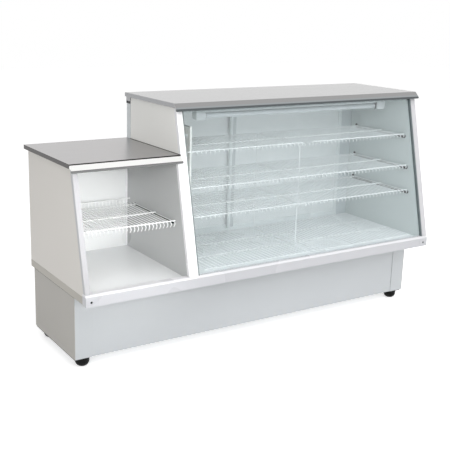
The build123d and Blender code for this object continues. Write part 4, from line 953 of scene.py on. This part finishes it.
# sill screws: slotted pan heads, whose rings are given from the seat outwards
screwLook = {
    "places": ((-0.9705, 0.361), (0.9705, 0.361)), "seat": -0.3309, "turn": 35,
    "head": ((0, 0.0050), (0.0007, 0.0049), (0.0013, 0.0043), (0.0017, 0.0030), (0.0019, 0.0012)),
    "slot": ((-0.007, -0.002, -0.0006), (0.007, 0.002, 0.0006)), "slotY": -0.3339, "slotEdge": 0.0001,
}
heads = []
for x, z in screwLook["places"]:
    rings = [(screwLook["seat"] - out, radius) for out, radius in screwLook["head"]]
    slotCutter = easedBlock(*screwLook["slot"], screwLook["slotEdge"], 1)
    slotCutter.rotation_euler = (0, math.radians(screwLook["turn"]), 0)
    slotCutter.location = (x, screwLook["slotY"], z)
    heads.append(cutOut(turned((x, 0, z), rings, aim=(0, 1, 0), sides=40), settle(slotCutter)))
finishPiece("slotted_sill_screws", heads, "phosphatedSteel", "screw_steel", "sill_screws", sharp=30)


# control box: knob with a grip bar and a white line, plain scale marks, screws at the plate's corners
knobLook = {
    "centre": (0.078, 0, 0.250),
    "rings": ((0.291, 0.0142), (0.2914, 0.0158), (0.300, 0.0158), (0.3055, 0.0152), (0.3074, 0.0140),
              (0.308, 0.0120)),
    "grip": ((-0.0034, 0.300, -0.0138), (0.0034, 0.3137, 0.0138)), "gripEdge": 0.0012,
    "line": ((-0.0006, 0.3132, -0.0125), (0.0006, 0.3139, -0.0030)), "lineEdge": 0.0002,
    "shaft": ((0, 0.2735, 0), (0, 0.2915, 0)), "shaftRadius": 0.003,
}
scaleLook = {"marks": 10, "step": 30, "low": (-0.0005, 0.2899, -0.0235), "short": (0.0005, 0.2901, -0.0195),
             "long": (0.0005, 0.2901, -0.0183), "edge": 0.00005}
plateLook = {"boxEdge": 0.0008, "switchEdge": 0.0005, "screwX": (0.046, 0.214), "screwZ": (0.218, 0.282),
             "screw": ((0.2900, 0.0030), (0.2906, 0.0029), (0.2911, 0.0024), (0.2914, 0.0012))}
centre = knobLook["centre"]
knobBody = turned(centre, knobLook["rings"], aim=(0, 1, 0), sides=64)
gripBar = easedBlock(*around(centre, knobLook["grip"]), knobLook["gripEdge"], 3)
finishPiece("turned_thermostat_knob", [knobBody, gripBar], "smoothBlackAbs", "knob_plastic",
            "thermostat_knob", body="thermostat_knob")
knobLine = easedBlock(*around(centre, knobLook["line"]), knobLook["lineEdge"], 1)
finishPiece("knob_line", [knobLine], "mouldedWhiteAbs", "holder_plastic", body="thermostat_knob")
knobShaft = roundRod(*around(centre, knobLook["shaft"]), knobLook["shaftRadius"], sides=32)
finishPiece("knob_shaft", [knobShaft], "zincPlatedSteel", "screw_steel", body="thermostat_knob")
marks = []
for index in range(scaleLook["marks"]):
    # every third mark is a long one
    mark = easedBlock(scaleLook["low"], scaleLook["short" if index % 3 else "long"], scaleLook["edge"], 1)
    mark.rotation_euler = (0, -math.radians(scaleLook["step"] * index), 0)
    mark.location = centre
    marks.append(settle(mark))
finishPiece("knob_scale", marks, "mouldedWhiteAbs", "holder_plastic")
finishPiece("eased_control_box", [easedCopy("control_box", plateLook["boxEdge"])], "grainedBlackAbs",
            "control_plastic", "control_box", sharp=30)
finishPiece("eased_lamp_switch", [easedCopy("lamp_switch", plateLook["switchEdge"])], "smoothBlackAbs",
            "knob_plastic", "lamp_switch", body="lamp_switch", sharp=30)
plateScrews = [turned((x, 0, z), plateLook["screw"], aim=(0, 1, 0), sides=24)
               for x in plateLook["screwX"] for z in plateLook["screwZ"]]
finishPiece("control_plate_screws", plateScrews, "zincPlatedSteel", "screw_steel")


# dark strip where the low worktop meets the divider, painted shadow in that joint, and edge trim in the rear
# corner of the low section
jointShadowLook = {"low": (-0.4778, -0.199, 0.9262), "high": (-0.4748, 0.2876, 0.9286), "width": 0.0006}
finishPiece("worktop_joint_shadow_strip", [easedBlock(**jointShadowLook)], "mouldedRubber", "rubber", sharp=30)
cornerLook = {"low": (-0.5025, 0.2835, 0.388), "high": (-0.4935, 0.2878, 0.886), "width": 0.0008}
finishPiece("low_corner_trim", [easedBlock(**cornerLook)], "powderCoatTrimWhite", "white_trim", sharp=30)

# arms under the low shelf: flat bars with a stop hook at the rear, set back from the shelf's front
armLook = {"left": (-0.973, -0.502), "across": 0.009, "back": 0.198, "edge": 0.0006,
           "bar": (-0.184, 0.6098, 0.6156), "stop": (0.194, 0.6150, 0.6240)}  # front, bottom, top
bars = []
for x in armLook["left"]:
    for front, bottom, top in (armLook["bar"], armLook["stop"]):
        bars.append(easedBlock((x, front, bottom), (x + armLook["across"], armLook["back"], top),
                               armLook["edge"]))
finishPiece("low_shelf_bars", bars, "phosphatedSteel", "bracket_steel", "low_shelf_brackets", sharp=30)

# wall hooks beside the shelf ends: a peg at the rear, and a clip that is placed from the shelf's front
hookLook = {"wall": 0.9548, "edge": 0.001, "peg": ((0.9485, 0.231, -0.004), (0.240, 0.008)),
            "clip": ((0.9455, 0.004, -0.018), (0.042, -0.008))}
hooks = []
for top, front in shelfLook["levels"].values():
    for ((x, y, z), (backY, topZ)), start in ((hookLook["peg"], 0), (hookLook["clip"], front)):
        hooks.append(easedBlock((x, start + y, top + z), (hookLook["wall"], start + backY, top + topZ),
                                hookLook["edge"]))
finishPiece("wall_hooks", hooks, "smoothBlackAbs", "dark_plastic")

# dark strip along the top of the evaporator cover: painted shadow at its top edge
rimShadowLook = {"low": (-0.3835, -0.1165, 1.0345), "high": (-0.3745, 0.2615, 1.0378), "width": 0.0008}
finishPiece("cover_rim_shadow", [easedBlock(**rimShadowLook)], "extrudedGasket", "gasket")
print("doors, screws, controls and hooks done")


# studio: white floor and surround, soft overhead light, camera at the photo's angle
studio = {
    "floorSize": 30.0, "floorColour": "#F2F2F2", "floorRough": 0.9, "floorLift": 0.62,
    "worldLevel": 0.40, "worldColour": "#FCFCFC",
    "overhead": {"size": (6.0, 5.0), "place": (0.3, -2.8, 4.4), "aim": (0.0, 0.0, 0.6), "watts": 170.0},
    "key": {"size": (2.0, 1.6), "place": (-6.8, -6.8, 3.6), "aim": (0.0, 0.0, 0.7), "watts": 170.0},
    "fill": {"size": (4.0, 2.0), "place": (0.4, -5.4, 1.2), "aim": (0.0, 0.0, 0.7), "watts": 30.0},
    # narrow lamp that reaches into the low section, whose own roof keeps the other lamps out
    "bay": {"place": (-1.30, -3.6, 1.50), "aim": (-0.735, 0.1, 0.62), "watts": 405.0, "cone": 12.5,
            "radius": 0.3, "blend": 0.5},
}


def seenDirectly(tree):
    # 1 where the camera looks at it, in a reflection and through glass too, and 0 where it lights the object
    path = addNode(tree, "LightPath").outputs
    seen = addNode(tree, "Math", {
        0: path["Is Camera Ray"], 1: path["Is Glossy Ray"]}, operation="ADD")
    return addNode(tree, "Math", {
        0: seen, 1: path["Is Transmission Ray"]}, operation="ADD", use_clamp=True)


def addLamp(name, kind, look):
    lamp = added(bpy.ops.object.light_add, type=kind, location=look["place"])
    lamp.name = name
    lamp.data.energy = look["watts"]
    lamp.visible_glossy = False
    away = Vector(look["place"]) - Vector(look["aim"])
    lamp.rotation_euler = away.to_track_quat("Z", "Y").to_euler()
    return lamp.data


floor = added(bpy.ops.mesh.primitive_plane_add, size=studio["floorSize"], location=(0, 0, 0))
floor.name = "studioFloor"
# paper sweep: matt and even, lifted to white where it is seen
tree, shader = newMaterial("paperSweep")
lift = addNode(tree, "Math", {0: seenDirectly(tree), 1: studio["floorLift"]}, operation="MULTIPLY")
shader.inputs["Base Color"].default_value = hexColour(studio["floorColour"])
shader.inputs["Roughness"].default_value = studio["floorRough"]
shader.inputs["Emission Color"].default_value = (1, 1, 1, 1)
feed(tree, shader, {"Emission Strength": lift})
floor.data.materials.append(bpy.data.materials["paperSweep"])

world = bpy.data.worlds.new("studioWorld")
bpy.context.scene.world = world
world.use_nodes = True
tree = world.node_tree
tree.nodes.clear()
softSky = addNode(tree, "Background", {
    "Color": hexColour(studio["worldColour"]), "Strength": studio["worldLevel"]})
whiteSky = addNode(tree, "Background", {"Color": (1, 1, 1, 1), "Strength": 1.0})
sky = addNode(tree, "MixShader", {0: seenDirectly(tree), 1: softSky, 2: whiteSky})
addNode(tree, "OutputWorld", {"Surface": sky})

for lampName in ("overhead", "key", "fill"):
    softbox = addLamp(lampName + "Softbox", "AREA", studio[lampName])
    softbox.shape = "RECTANGLE"
    softbox.size, softbox.size_y = studio[lampName]["size"]
baySpot = addLamp("baySpot", "SPOT", studio["bay"])
baySpot.spot_size = math.radians(studio["bay"]["cone"])
baySpot.spot_blend = studio["bay"]["blend"]
baySpot.shadow_soft_size = studio["bay"]["radius"]

# camera solved from the counter's own edges in the photo
cameraPose = {
    "place": (-2.3187, -3.3351, 1.5933), "yaw": 0.567194, "pitch": 0.246649, "roll": 0.025458,
    "lens": 66.375, "sensor": 36.0, "shift": (0.0372, -0.03355),
}
yaw, pitch, roll = cameraPose["yaw"], cameraPose["pitch"], cameraPose["roll"]
ahead = Vector((math.sin(yaw) * math.cos(pitch), math.cos(yaw) * math.cos(pitch), -math.sin(pitch)))
levelRight = Vector((math.cos(yaw), -math.sin(yaw), 0))
levelUp = levelRight.cross(ahead)
cameraRight = math.cos(roll) * levelRight + math.sin(roll) * levelUp
cameraUp = -math.sin(roll) * levelRight + math.cos(roll) * levelUp
camera = added(bpy.ops.object.camera_add, location=cameraPose["place"])
turn = Matrix((cameraRight, cameraUp, -ahead)).transposed().to_4x4()
camera.matrix_world = Matrix.Translation(cameraPose["place"]) @ turn
camera.data.sensor_width = cameraPose["sensor"]
camera.data.lens = cameraPose["lens"]
camera.data.shift_x, camera.data.shift_y = cameraPose["shift"]
bpy.context.scene.camera = camera
bpy.context.scene.view_settings.view_transform = "Standard"
print("studio done")
